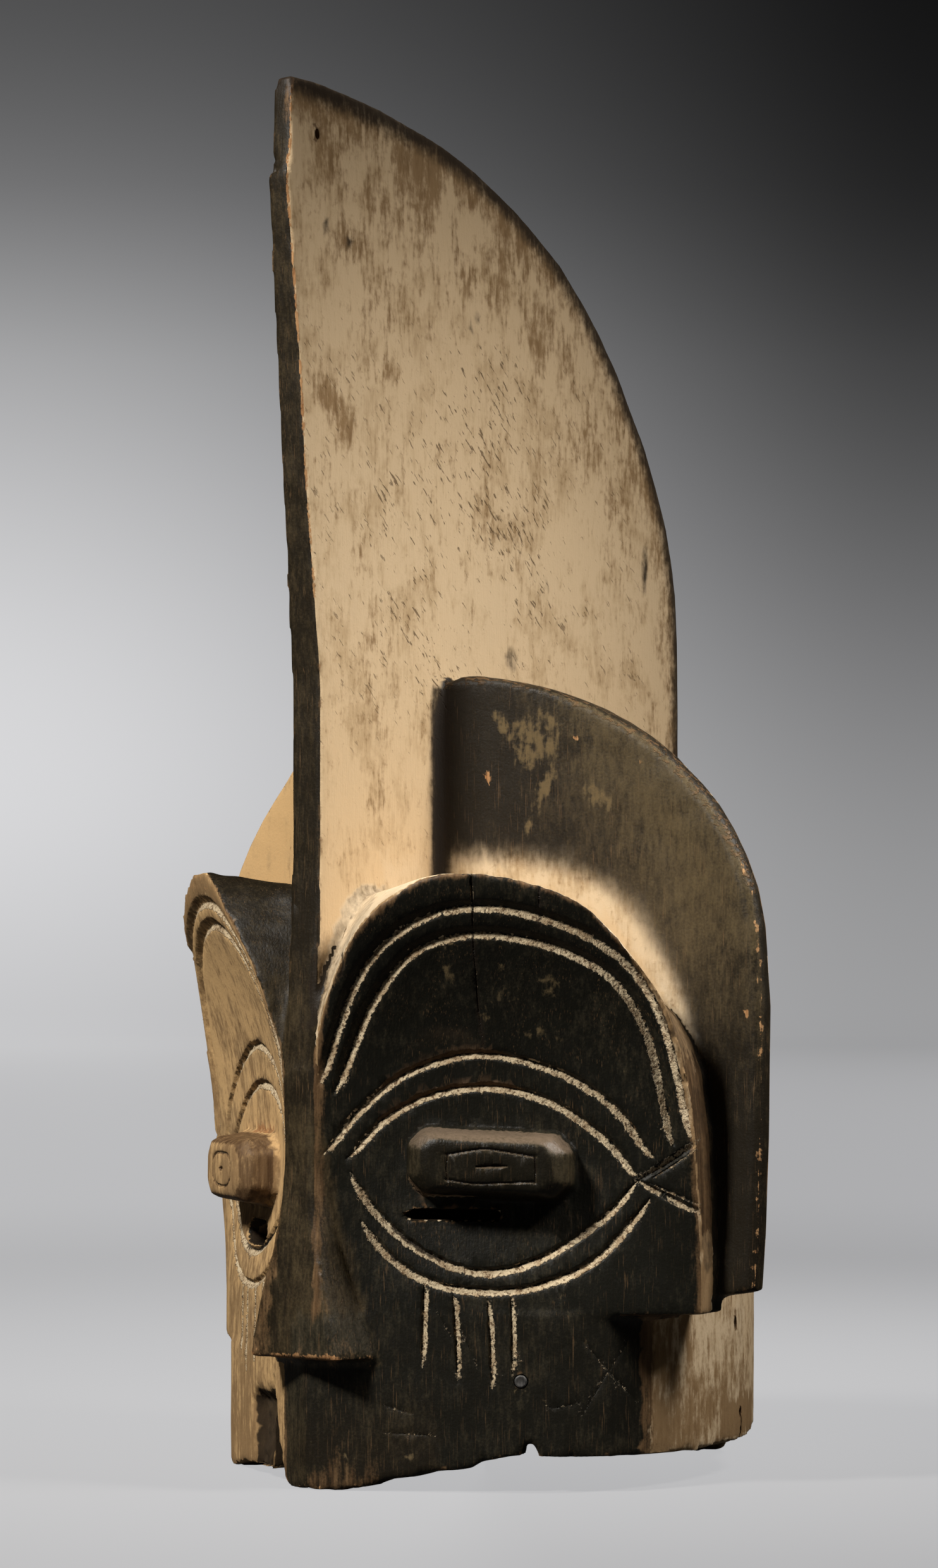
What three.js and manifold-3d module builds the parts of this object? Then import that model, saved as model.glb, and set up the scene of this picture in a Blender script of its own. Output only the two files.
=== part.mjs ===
// A carved wooden helmet mask: an oval helmet open below, a tall crest plank set front to back,
// two side flanges, and a face of two arched panels with block eyes on each side of the nose.
// Millimetres, +Z up along the crest, the face looks along -Y, the rim rests on z = 0.
import * as THREE from "three";
import Module from "manifold-3d";

// ---- driving dimensions -------------------------------------------------------------------------
const CENTRE_Y = 7.15; // moves the carving so that its box is centred on the origin
const HELMET_TOP = 306; // crown of the dome under the crest
const WALL_SCALE_X = 0.85; // inside of the helmet against its outside, across
const WALL_SCALE_Y = 0.86; // the same, front to back
const CAVITY_BACK = 3; // the hollow sits this much to the rear
const CAVITY_TOP = 276; // highest point of the hollow
const PANEL_START = [10, -146]; // where a face panel leaves the nose ridge, seen from above
const PANEL_TURN = 33.25; // degrees that a face panel is turned away from straight ahead
const PANEL_DEPTH = 62; // how far the panel's block runs back into the helmet
const VALLEY_DROP = 26; // the valley behind the brow lies this much under the brow
const LEDGE_RIGHT = 90; // height of the step under the right panel
const LEDGE_LEFT = 66; // the left one is cut lower
const FLANGE_THICK = 17; // side flange
const FLANGE_FOOT_RIGHT = 98;
const FLANGE_FOOT_LEFT = 66;
const EYE_BASE = [86, 35]; // eye block where it meets the panel
const EYE_FRONT = [66, 24]; // its front face
const EYE_OUT = 19.5; // front face ahead of the panel's base plane
const GROOVE_HALF = 1.9; // incised line, half its width
const GROOVE_DEEP = 1.7;

// ---- small helpers ------------------------------------------------------------------------------
const wasm = await Module();
wasm.setup();

// straight-line reading of a profile given as [position, value] pairs
function read(pairs, at) {
  if (at <= pairs[0][0]) return pairs[0][1];
  for (let i = 1; i < pairs.length; i++) {
    if (at <= pairs[i][0]) {
      const [a, va] = pairs[i - 1];
      const [b, vb] = pairs[i];
      return va + ((vb - va) * (at - a)) / (b - a);
    }
  }
  return pairs[pairs.length - 1][1];
}

// a smooth curve through flat points, sampled evenly
function smooth(points, count, closed = false) {
  const line = points.map(([x, y]) => new THREE.Vector3(x, y, 0));
  const curve = new THREE.CatmullRomCurve3(line, closed, "catmullrom", 0.5);
  const samples = curve.getSpacedPoints(closed ? count : count - 1);
  if (closed) samples.pop();
  return samples.map((p) => [p.x, p.y]);
}

function geometryOf(vertices, triangles) {
  const g = new THREE.BufferGeometry();
  g.setAttribute("position", new THREE.Float32BufferAttribute(vertices.flat(), 3));
  let volume = 0;
  for (const [a, b, c] of triangles) {
    const [p, q, r] = [a, b, c].map((k) => new THREE.Vector3(...vertices[k]));
    volume += p.dot(q.cross(r));
  }
  g.setIndex((volume < 0 ? triangles.map(([a, b, c]) => [a, c, b]) : triangles).flat());
  return g;
}

// closed body through level rings that all have the same number of points
function loft(rings) {
  const n = rings[0].length;
  const triangles = [];
  for (let r = 0; r + 1 < rings.length; r++) {
    for (let i = 0; i < n; i++) {
      const a = r * n + i;
      const b = r * n + ((i + 1) % n);
      triangles.push([a, b, b + n], [a, b + n, a + n]);
    }
  }
  // each end is closed by strips between the two sides of its ring
  const top = (rings.length - 1) * n;
  for (let low = 0, high = n - 1; high - low > 1; low++, high--) {
    triangles.push([low, high, low + 1], [top + low, top + low + 1, top + high]);
    if (high - 1 > low + 1) {
      triangles.push([low + 1, high, high - 1], [top + low + 1, top + high - 1, top + high]);
    }
  }
  return geometryOf(rings.flat(), triangles);
}

// closed body between a front grid and a back grid with the same rows and columns
function slab(front, back) {
  const rows = front.length;
  const cols = front[0].length;
  const vertices = [...front.flat(), ...back.flat()];
  const at = (layer, r, c) => layer * rows * cols + r * cols + c;
  const triangles = [];
  const quad = (a, b, c, d) => triangles.push([a, b, c], [a, c, d]);
  for (let r = 0; r + 1 < rows; r++) {
    for (let c = 0; c + 1 < cols; c++) {
      quad(at(0, r, c), at(0, r, c + 1), at(0, r + 1, c + 1), at(0, r + 1, c));
      quad(at(1, r, c), at(1, r + 1, c), at(1, r + 1, c + 1), at(1, r, c + 1));
    }
    quad(at(0, r, 0), at(0, r + 1, 0), at(1, r + 1, 0), at(1, r, 0));
    quad(at(0, r, cols - 1), at(1, r, cols - 1), at(1, r + 1, cols - 1), at(0, r + 1, cols - 1));
  }
  for (let c = 0; c + 1 < cols; c++) {
    quad(at(0, 0, c), at(1, 0, c), at(1, 0, c + 1), at(0, 0, c + 1));
    quad(at(0, rows - 1, c), at(0, rows - 1, c + 1), at(1, rows - 1, c + 1), at(1, rows - 1, c));
  }
  return geometryOf(vertices, triangles);
}

function solid(geometry) {
  return new wasm.Manifold(
    new wasm.Mesh({
      numProp: 3,
      vertProperties: new Float32Array(geometry.getAttribute("position").array),
      triVerts: new Uint32Array(geometry.getIndex().array),
    }),
  );
}

// ---- helmet: an oval with a blunt prow in front, domed on top ------------------------------------
const HALF_OVAL = [
  [0, -151], [30, -136.5], [60, -119.5], [86, -103], [110, -87], [127, -73], [135, -54], [138, -28],
  [137, 4], [131, 38], [118, 72], [97, 104], [71, 130], [39, 149], [0, 157],
];
const ovalPoints = [
  ...HALF_OVAL,
  ...HALF_OVAL.slice(1, -1)
    .reverse()
    .map(([x, y]) => [-x, y]),
];
const oval = smooth(ovalPoints, 40, true);
// [height, scale, scale of the front half]: above the neck the front draws back behind the face
const DOME = [
  [0, 1, 1], [97, 1, 1], [124, 1, 0.9], [200, 1, 0.88], [228, 0.96, 0.84], [252, 0.88, 0.77],
  [272, 0.76, 0.67], [288, 0.6, 0.54], [299, 0.4, 0.37], [HELMET_TOP, 0.14, 0.13],
];
const helmet = loft(
  DOME.map(([z, k, front]) => oval.map(([x, y]) => [x * k, y * (y < 0 ? front : k), z])),
);

const HOLLOW = [
  [-4, 1], [205, 1], [228, 0.93], [248, 0.78], [264, 0.54], [CAVITY_TOP, 0.18],
];
const hollowOval = smooth(ovalPoints, 32, true);
const hollow = loft(
  HOLLOW.map(([z, k]) =>
    hollowOval.map(([x, y]) => [x * WALL_SCALE_X * k, (y * WALL_SCALE_Y + CAVITY_BACK) * k, z]),
  ),
);

// ---- crest: a plank whose front edge runs down to the nose ---------------------------------------
const CREST_FRONT = [
  [200, -155.5], [241, -155.5], [280, -151.5], [318, -149.5], [416, -149.5], [468, -154], [520, -159],
  [580, -163], [669, -171.3], [676, -168.6], [719, -166.5],
];
const CREST_REAR = [
  [200, 157], [419, 157], [453, 156.5], [478, 155], [496, 152], [516, 147], [532, 140], [558, 128],
  [580, 114], [599, 102], [618, 87], [634, 72], [652, 53], [665, 33], [681, 7], [692, -18], [701, -43],
  [707, -67], [713, -95], [717, -123], [719.4, -146], [720, -160],
];
const CREST_HALF = [[200, 10.2], [416, 10.2], [520, 8.8], [580, 8.4], [671, 7], [720, 5.6]];
const crestLevels = [
  200, 280, 318, 416, 453, 478, 496, 516, 532, 558, 580, 599, 618, 634, 652, 669, 676, 692, 701, 707,
  713, 717, 719.4,
];
const crest = loft(
  crestLevels.map((z) => {
    const front = read(CREST_FRONT, z);
    const rear = read(CREST_REAR, z);
    const half = read(CREST_HALF, z);
    const soft = Math.min(7, (rear - front) / 4);
    return [
      [-half, front], [half, front], [half * 0.94, (front + rear) / 2], [half * 0.86, rear - soft],
      [half * 0.45, rear], [-half * 0.45, rear], [-half * 0.86, rear - soft],
      [-half * 0.94, (front + rear) / 2],
    ].map(([x, y]) => [x, y, z]);
  }),
);

// ---- side flanges: plates that leave the crest swept back and then stand straight across ---------
const FLANGE_PLAN = [
  [0, -58], [10, -55], [40, -46], [80, -34], [110, -26], [135, -19.5], [155, -17], [190, -16],
];
const FLANGE_OUTER = [
  [60, 184], [102, 185], [131, 187], [180, 189], [246, 190], [265, 189.5], [287, 187], [307, 182.5],
  [323, 175.5], [337, 167.5], [351, 157.5], [362, 147], [376, 132.5], [386, 120], [395, 106],
  [402, 93], [408, 79], [413, 65], [416.5, 50], [419, 38], [420.5, 29],
];
const FLANGE_INNER = [[60, 0], [402, 0], [408, 10.4], [413, 11.5], [416.5, 13], [419, 16], [420.5, 20]];
function flange(side, foot) {
  const levels = [foot, 131, 180, 246, 287, 307, 323, 337, 351, 362, 376, 386, 395, 402, 408, 413];
  return loft(
    [...levels, 416.5, 419, 420.5].map((z) => {
      const outer = read(FLANGE_OUTER, z);
      const inner = read(FLANGE_INNER, z);
      const thick = z > 418 ? FLANGE_THICK - (z - 418) * 3 : FLANGE_THICK;
      const front = [];
      const rear = [];
      for (let i = 0; i <= 5; i++) {
        const x = inner + ((outer - 4 - inner) * i) / 5;
        const y = read(FLANGE_PLAN, x) + (FLANGE_THICK - thick) / 2;
        const slim = x > 120 ? ((x - 120) / 68) * 3 : 0;
        const h = z === foot ? z + (x - 160) * 0.16 : z;
        front.push([x, y, h]);
        rear.push([x, y + thick - slim, h]);
      }
      const tip = read(FLANGE_PLAN, outer);
      const low = z === foot ? z + (outer - 160) * 0.16 : z;
      const edge = [
        [outer, tip + thick * 0.25, low],
        [outer - 0.5, tip + thick * 0.55, low],
      ];
      return [...front, ...edge, ...rear.reverse()].map(([x, y, h]) => [side * x, y, h]);
    }),
  );
}

// ---- face panels ---------------------------------------------------------------------------------
// A point of a panel is named by its distance along the panel from the nose ridge, its height, and
// how far it stands ahead of the panel's base plane.
const turn = THREE.MathUtils.degToRad(PANEL_TURN);
const ALONG = [Math.cos(turn), Math.sin(turn)];
const AHEAD = [Math.sin(turn), -Math.cos(turn)];
function place(side, along, height, ahead) {
  const x = PANEL_START[0] + along * ALONG[0] + ahead * AHEAD[0];
  const y = PANEL_START[1] + along * ALONG[1] + ahead * AHEAD[1];
  return [side * x, y, height];
}
const RELIEF_MIDDLE = [
  [0, 5.4], [102, 5.4], [130, 0.5], [160, -4], [178, -4], [205, -2.3], [222, 0], [250, 8],
  [275, 18], [296, 28], [318, 34],
];
const RELIEF_EDGE = [
  [60, -8], [100, -8], [130, -6.5], [178, 0], [195, 2.4], [230, 9.5], [264, 18], [293, 31], [318, 34],
];
const RELIEF_NOSE = [[102, -5], [130, 2], [160, 9], [320, 9]];
function relief(along, height) {
  const middle = read(RELIEF_MIDDLE, height);
  if (along > 84) {
    const k = Math.min(1.15, ((along - 84) / 106) ** 2);
    return middle + (read(RELIEF_EDGE, height) - middle) * k;
  }
  return middle + read(RELIEF_NOSE, height) * Math.max(0, (84 - along) / 84) ** 2.5;
}
// the neck under the face stands this far ahead of the same plane, along the panel
const NECK_AHEAD = [[0, 1], [22, 3], [56, 5.3], [87, 5.8], [116, 5.5], [138, 3], [155, -8.5]];
function surface(along, height) {
  const drawnBack = Math.max(0, height - 97) * 0.5;
  return Math.max(relief(along, height), read(NECK_AHEAD, along) - drawnBack);
}
// arch outline of a panel: [height, near end, far end]
const ARCH_RIGHT = [
  [LEDGE_RIGHT, -3, 192], [116, -3, 192.5], [148, -3, 191], [180, -3, 189], [212, -3, 185], [230, -3, 181],
  [246, 1, 176], [260, 6, 168.5], [274, 12.5, 158.5], [286, 20, 149], [296, 30, 139], [303, 39.5, 128],
  [308.5, 48, 114], [312, 55, 100], [314, 64, 88],
];
const ARCH_LEFT = [
  [LEDGE_LEFT, -3, 190], [116, -3, 192.5], [148, -3, 191], [180, -3, 189], [212, -3, 186], [230, 1, 182],
  [246, 4, 177.5], [262, 9, 170], [275, 16, 162], [286, 25, 154], [296, 34, 144], [304, 42, 132],
  [311, 51, 118], [315.5, 60, 105], [318.8, 69, 93],
];
const PANEL_COLUMNS = 11;
function panel(side, arch) {
  const front = [];
  const back = [];
  for (const [height, near, far] of arch) {
    const lift = THREE.MathUtils.smoothstep(height, 205, 316);
    const frontRow = [];
    const backRow = [];
    for (let c = 0; c < PANEL_COLUMNS; c++) {
      const along = near + ((far - near) * c) / (PANEL_COLUMNS - 1);
      frontRow.push(place(side, along, height, relief(along, height)));
      // the back edge lies lower outwards, and fills the corner beside the crest
      const outward = Math.max(0, along - 100);
      const drop = 6 + (VALLEY_DROP - 6) * THREE.MathUtils.smoothstep(along, 20, 110);
      const inner = -3 + ((far + 3) * c) / (PANEL_COLUMNS - 1);
      const behind = 78 + (inner - 78) * (1 - 0.12 * lift * (inner > 78)) + outward * 0.1;
      backRow.push(place(side, behind, height - drop * lift, -PANEL_DEPTH + outward * 0.31));
    }
    front.push(frontRow);
    back.push(backRow);
  }
  return slab(front, back);
}

// ---- nose: the ridge goes on down and flares, with a flat underside -------------------------------
// [height, half width in front, front, half width where it leaves the face]
const NOSE = [
  [67, 29, -161, 36], [82, 26, -160.8, 31.5], [97, 22.5, -160.3, 27.5], [113, 18.6, -159, 23.5],
  [129, 15.3, -157.7, 20], [146, 12.6, -156.4, 17], [163, 10.9, -155.6, 14.5], [193, 10.2, -155.5, 12],
  [215, 10.2, -155.5, 11],
];
const nose = loft(
  NOSE.map(([z, half, y, root]) =>
    [
      [-half, y], [half, y], [half + (root - half) * 0.35, -148], [root, -136], [root, -112],
      [-root, -112], [-root, -136], [-half - (root - half) * 0.35, -148],
    ].map(([x, v]) => [x, v, z]),
  ),
);

// ---- eye blocks: rounded oblongs that narrow to a flat front --------------------------------------
function eye(side, along, height, tall, droop) {
  const ring = (w, h, ahead, shift) => {
    const r = Math.min(w, h) * 0.24;
    const corners = [
      [-w / 2 + r, -h / 2], [w / 2 - r, -h / 2], [w / 2, -h / 2 + r], [w / 2, h / 2 - r],
      [w / 2 - r, h / 2], [-w / 2 + r, h / 2], [-w / 2, h / 2 - r], [-w / 2, -h / 2 + r],
    ];
    return corners.map(([a, b]) => place(side, along + a, height + b - a * droop + shift, ahead));
  };
  const rings = [
    ring(EYE_BASE[0], EYE_BASE[1] + tall, -14, 0),
    ring(EYE_BASE[0], EYE_BASE[1] + tall, -3, 0),
    ring((EYE_BASE[0] + EYE_FRONT[0]) / 2 + 5, EYE_FRONT[1] + tall + 6.5, EYE_OUT * 0.66, 0),
    ring(EYE_FRONT[0] + 3, EYE_FRONT[1] + tall + 2, EYE_OUT - 1.4, 0),
    ring(EYE_FRONT[0] - 3, EYE_FRONT[1] + tall - 3, EYE_OUT, 0),
  ];
  const n = rings[0].length;
  const triangles = [];
  for (let r = 0; r + 1 < rings.length; r++) {
    for (let i = 0; i < n; i++) {
      const a = r * n + i;
      const b = r * n + ((i + 1) % n);
      triangles.push([a, b, b + n], [a, b + n, a + n]);
    }
  }
  for (let i = 1; i + 1 < n; i++) {
    triangles.push([0, i + 1, i]);
    const top = (rings.length - 1) * n;
    triangles.push([top, top + i, top + i + 1]);
  }
  return geometryOf(rings.flat(), triangles);
}

// ---- incised lines -------------------------------------------------------------------------------
// A wedge that follows a line drawn on a panel: its tip lies under the surface.
function groove(side, points, count) {
  const line = smooth(points, count);
  const rings = line.map(([along, height], i) => {
    const [a0, h0] = line[Math.max(0, i - 1)];
    const [a1, h1] = line[Math.min(line.length - 1, i + 1)];
    const length = Math.hypot(a1 - a0, h1 - h0);
    const across = [-(h1 - h0) / length, (a1 - a0) / length];
    const ends = i === 0 || i === line.length - 1 ? 0.35 : 1;
    const half = GROOVE_HALF * ends;
    const r = surface(along, height);
    return [
      place(side, along + across[0] * half, height + across[1] * half, r + 1),
      place(side, along - across[0] * half, height - across[1] * half, r + 1),
      place(side, along, height, r - GROOVE_DEEP * ends),
    ];
  });
  const triangles = [];
  for (let r = 0; r + 1 < rings.length; r++) {
    for (let i = 0; i < 3; i++) {
      const a = r * 3 + i;
      const b = r * 3 + ((i + 1) % 3);
      triangles.push([a, b, b + 3], [a, b + 3, a + 3]);
    }
  }
  const last = (rings.length - 1) * 3;
  triangles.push([0, 2, 1], [last, last + 1, last + 2]);
  return geometryOf(rings.flat(), triangles);
}
const STROKES = [
  // the short crossed strokes at the outer corner
  { count: 3, points: [[161, 159.5], [177, 169], [191, 179]] },
  { count: 3, points: [[161, 157.5], [177, 149], [191, 142]] },
  // four strokes under the eye
  { count: 2, points: [[52.5, 106], [51.5, 67]] },
  { count: 2, points: [[67.5, 102], [69.5, 60]] },
  { count: 2, points: [[85, 100], [87, 57]] },
  { count: 2, points: [[97.5, 101], [98, 62]] },
];
const LINES_RIGHT = [
  // the two brow lines
  { count: 13, points: [[-1, 208], [8, 236], [20, 263], [37, 282], [60, 294], [84, 297], [110, 293],
    [138, 282], [160, 265], [175, 238], [184, 200], [187, 181]] },
  { count: 12, points: [[6, 203], [15, 226], [27, 251], [47, 274], [72, 283], [97, 282.5], [125, 275],
    [150, 260], [166, 234], [174, 200], [178, 177]] },
  // the line over the eye and the almond round it
  { count: 10, points: [[1, 171], [17, 192], [40, 211], [68, 221], [92, 221], [122, 212], [148, 195],
    [167, 170]] },
  { count: 9, points: [[13, 169], [30, 188], [54, 201], [84, 205.5], [115, 198], [142, 180],
    [160, 159.5]] },
  { count: 9, points: [[13, 161], [28, 140], [50, 122], [80, 111.5], [110, 118], [140, 137],
    [160, 157.5]] },
  { count: 9, points: [[19, 136], [36, 117], [58, 105.5], [84, 102], [112, 105.5], [140, 119],
    [166, 148]] },
  ...STROKES,
];
// the left half was cut freehand too, so its curves run a little higher
const LINES_LEFT = [
  { count: 13, points: [[-1, 208], [8, 238], [20, 266], [38, 286], [62, 299], [88, 302], [114, 298],
    [141, 286], [162, 268], [176, 240], [184, 202], [187, 181]] },
  { count: 12, points: [[6, 203], [15, 228], [27, 255], [48, 279], [75, 289.5], [100, 289], [128, 281],
    [152, 264], [167, 236], [174, 200], [178, 177]] },
  { count: 10, points: [[1, 171], [17, 194], [40, 214], [68, 225], [92, 225], [122, 215], [148, 197],
    [167, 170]] },
  { count: 9, points: [[13, 169], [30, 188], [54, 201], [84, 205.5], [115, 198], [142, 180],
    [160, 159.5]] },
  { count: 9, points: [[13, 161], [28, 143], [50, 126], [80, 116.5], [110, 121], [140, 138],
    [160, 157.5]] },
  { count: 9, points: [[19, 136], [38, 115], [60, 103], [84, 99.5], [112, 104.5], [140, 120],
    [166, 148]] },
  ...STROKES,
];

// ---- worn rim, notch, splits and small holes ------------------------------------------------------
function prism(ringA, ringB) {
  const n = ringA.length;
  const triangles = [];
  for (let i = 0; i < n; i++) {
    const b = (i + 1) % n;
    triangles.push([i, b, b + n], [i, b + n, i + n]);
  }
  for (let i = 1; i + 1 < n; i++) triangles.push([0, i + 1, i], [n, n + i, n + i + 1]);
  return geometryOf([...ringA, ...ringB], triangles);
}
// a cut through a panel or the helmet wall under it, outlined as [along, height]
function cut(side, outline, from, to) {
  const ring = (ahead) => outline.map(([along, height]) => place(side, along, height, ahead));
  return prism(ring(from), ring(to));
}
// a small upright hole through a wall that faces a given way
function bore(centre, facing, wide, tall, inward, outward) {
  const a = THREE.MathUtils.degToRad(facing);
  const out = new THREE.Vector3(Math.sin(a), -Math.cos(a), 0);
  const across = new THREE.Vector3(Math.cos(a), Math.sin(a), 0);
  const ring = (reach) =>
    [...Array(8).keys()].map((k) => {
      const b = (k * Math.PI) / 4;
      const p = new THREE.Vector3(...centre)
        .addScaledVector(out, reach)
        .addScaledVector(across, (Math.cos(b) * wide) / 2);
      return [p.x, p.y, p.z + (Math.sin(b) * tall) / 2];
    });
  return prism(ring(-inward), ring(outward));
}

// what the rim has lost, going round from the left front to the right rear, as [degrees, height]
const RIM_LOSS = [
  [-146, -2], [-137, 4.5], [-106, 5.5], [-96, -1], [-82, -1], [-76, 1.8], [-62, 8], [-50, 12],
  [-41, 18.5], [-20, 18.5], [0, 17], [20, 18], [30, 19.5], [41, 25], [51, 25], [57, 19], [63, 9],
  [68, 4], [73, -2],
];
const rimLoss = (() => {
  const rings = RIM_LOSS.map(([degrees, height]) => {
    const a = THREE.MathUtils.degToRad(degrees);
    const at = (r, z) => [r * Math.cos(a), r * Math.sin(a) * 1.2, z];
    return [at(60, -6), at(190, -6), at(190, height), at(60, height)];
  });
  const triangles = [];
  for (let r = 0; r + 1 < rings.length; r++) {
    for (let i = 0; i < 4; i++) {
      const a = r * 4 + i;
      const b = r * 4 + ((i + 1) % 4);
      triangles.push([a, b, b + 4], [a, b + 4, a + 4]);
    }
  }
  const last = (rings.length - 1) * 4;
  triangles.push([0, 2, 1], [0, 3, 2], [last, last + 1, last + 2], [last, last + 2, last + 3]);
  return geometryOf(rings.flat(), triangles);
})();

const cuts = [
  hollow,
  rimLoss,
  // viewing slits under the eye blocks
  cut(1, [[37, 140.5], [44, 138.3], [88, 138.5], [92, 140.5], [88, 142.8], [46, 143]], -75, 16),
  cut(-1, [[57, 127], [70, 120.5], [97, 121], [105, 127.5], [96, 133.5], [64, 133]], -75, 16),
  // notch in the right rim, and the split in the left front of the rim
  cut(1, [[101, -5], [113, -5], [110, 19], [107, 25.5], [104.5, 26.5], [102.5, 24]], -40, 30),
  cut(-1, [[12, -5], [38, -5], [36, 30], [35, 55], [32, 55], [27, 32]], -40, 30),
  cut(-1, [[75.5, 48], [78, 48], [78, 54.5], [75.5, 54.5]], -40, 30),
  // holes for the lost costume, and one in the crest
  bore([127, 44, 80.5], 97, 3.4, 7, 30, 20),
  bore([124, 53, 33], 100, 3, 5.5, 30, 20),
  bore([98, -95.5, 56.8], PANEL_TURN + 3, 6.6, 6.6, 2.6, 16),
  bore([0, -147.5, 692], 90, 3.2, 5, 20, 20),
];

// ---- join and cut --------------------------------------------------------------------------------
let body = solid(helmet);
const added = [
  crest,
  flange(1, FLANGE_FOOT_RIGHT),
  flange(-1, FLANGE_FOOT_LEFT),
  panel(1, ARCH_RIGHT),
  panel(-1, ARCH_LEFT),
  nose,
  eye(1, 85.5, 166.5, 0, 0.045),
  eye(-1, 87, 160.5, 3, 0.0),
];
for (const piece of added) body = body.add(solid(piece));
for (const piece of cuts) body = body.subtract(solid(piece));
for (const [side, lines] of [[1, LINES_RIGHT], [-1, LINES_LEFT]]) {
  for (const { points, count } of lines) body = body.subtract(solid(groove(side, points, count)));
}

const result = body.getMesh();
const carved = new THREE.BufferGeometry();
carved.setAttribute("position", new THREE.BufferAttribute(new Float32Array(result.vertProperties), 3));
carved.setIndex(new THREE.BufferAttribute(new Uint32Array(result.triVerts), 1));
carved.computeVertexNormals();

const wood = new THREE.MeshStandardMaterial({ color: 0x8f7a58, roughness: 0.82, metalness: 0 });
const mask = new THREE.Mesh(carved, wood);
mask.name = "mask";
mask.position.y = CENTRE_Y;

const object = new THREE.Group();
object.add(mask);
export default object;
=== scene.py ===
import math
import bpy
import numpy as np
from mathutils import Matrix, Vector
from mathutils.kdtree import KDTree


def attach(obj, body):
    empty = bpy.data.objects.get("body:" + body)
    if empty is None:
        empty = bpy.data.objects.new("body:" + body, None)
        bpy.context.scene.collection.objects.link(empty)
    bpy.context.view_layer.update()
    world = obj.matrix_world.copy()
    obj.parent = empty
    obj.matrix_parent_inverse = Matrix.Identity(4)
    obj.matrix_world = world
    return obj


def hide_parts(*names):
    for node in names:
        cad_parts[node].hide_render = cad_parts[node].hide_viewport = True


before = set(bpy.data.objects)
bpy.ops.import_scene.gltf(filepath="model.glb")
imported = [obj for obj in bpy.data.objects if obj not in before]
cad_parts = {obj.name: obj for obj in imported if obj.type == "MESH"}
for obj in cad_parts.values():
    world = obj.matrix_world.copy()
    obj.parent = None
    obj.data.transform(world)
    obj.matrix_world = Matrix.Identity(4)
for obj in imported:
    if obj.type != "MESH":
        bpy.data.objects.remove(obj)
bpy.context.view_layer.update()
print("frame loaded")


# small helpers

def makeActive(piece):
    if bpy.context.object and bpy.context.object.mode != "OBJECT":
        bpy.ops.object.mode_set(mode="OBJECT")
    bpy.ops.object.select_all(action="DESELECT")
    piece.select_set(True)
    bpy.context.view_layer.objects.active = piece


def applyModifier(piece, kind, **settings):
    modifier = piece.modifiers.new(kind.lower(), kind)
    for name, value in settings.items():
        setattr(modifier, name, value)
    makeActive(piece)
    bpy.ops.object.modifier_apply(modifier=modifier.name)


def readPoints(mesh):  # in millimetres
    flat = np.empty(len(mesh.vertices) * 3, np.float32)
    mesh.vertices.foreach_get("co", flat)
    return flat.reshape(-1, 3).astype(float) * 1000


def readNormals(mesh):
    flat = np.empty(len(mesh.vertices) * 3, np.float32)
    mesh.vertex_normals.foreach_get("vector", flat)
    return flat.reshape(-1, 3).astype(float)


def writePoints(mesh, points):
    mesh.vertices.foreach_set("co", (points / 1000).astype(np.float32).ravel())
    mesh.update()


def softened(piece, rounds, factor=0.5):  # the points as a smoothing would leave them
    modifier = piece.modifiers.new("soften", "SMOOTH")
    modifier.iterations = rounds
    modifier.factor = factor
    seen = piece.evaluated_get(bpy.context.evaluated_depsgraph_get())
    points = readPoints(seen.to_mesh())
    seen.to_mesh_clear()
    piece.modifiers.remove(modifier)
    return points


def step(value, low, high):  # 0 below low, 1 above high, soft between
    t = np.clip((value - low) / (high - low), 0, 1)
    return t * t * (3 - 2 * t)


def between(value, low, high):
    return (value > low) & (value < high)


def hashed(cell, seed):
    h = (cell[:, 0] * 374761393 + cell[:, 1] * 668265263 + cell[:, 2] * 1440662683
         + seed * 974634777) & 0xFFFFFFFF
    h = ((h ^ (h >> 13)) * 1274126177) & 0xFFFFFFFF
    return ((h ^ (h >> 16)) & 0xFFFF) / 65535.0


def grain(points, size, seed=0):  # smooth random values from -1 to 1, size in mm per cell along x, y, z
    at = points / np.asarray(size, float)
    low = np.floor(at).astype(np.int64)
    t = at - low
    t = t * t * (3 - 2 * t)
    total = np.zeros(len(points))
    for corner in range(8):
        bits = np.array([corner & 1, (corner >> 1) & 1, (corner >> 2) & 1])
        weight = np.prod(np.where(bits, t, 1 - t), axis=1)
        total += weight * hashed(low + bits, seed)
    return total * 2 - 1


# the carving's own places, in millimetres: the same figures as the solid is built from

carving = {
    "centreY": 7.15,
    "voxel": 1.9,             # size of the remesh
    "rounding": 3,            # rounds of smoothing on the worn edges
    "coveRounds": 60,         # reach of the hollow fillets
    "outlineRounds": 15,      # rounds of smoothing on the outline of the face panels
    "outlineRoundsAfter": 4,  # and again after thinning, for the saw teeth that it leaves
    "keptTriangles": 190000,
    "panelStart": (10, -146),
    "panelTurn": 33.25,
    "ledge": (90, 66),        # right, left
}

reliefMiddle = [(0, 5.4), (102, 5.4), (130, 0.5), (160, -4), (178, -4), (205, -2.3), (222, 0), (250, 8),
                (275, 18), (296, 28), (318, 34)]
reliefEdge = [(60, -8), (100, -8), (130, -6.5), (178, 0), (195, 2.4), (230, 9.5), (264, 18), (293, 31),
              (318, 34)]
reliefNose = [(102, -5), (130, 2), (160, 9), (320, 9)]
neckAhead = [(0, 1), (22, 3), (56, 5.3), (87, 5.8), (116, 5.5), (138, 3), (155, -8.5)]


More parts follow.
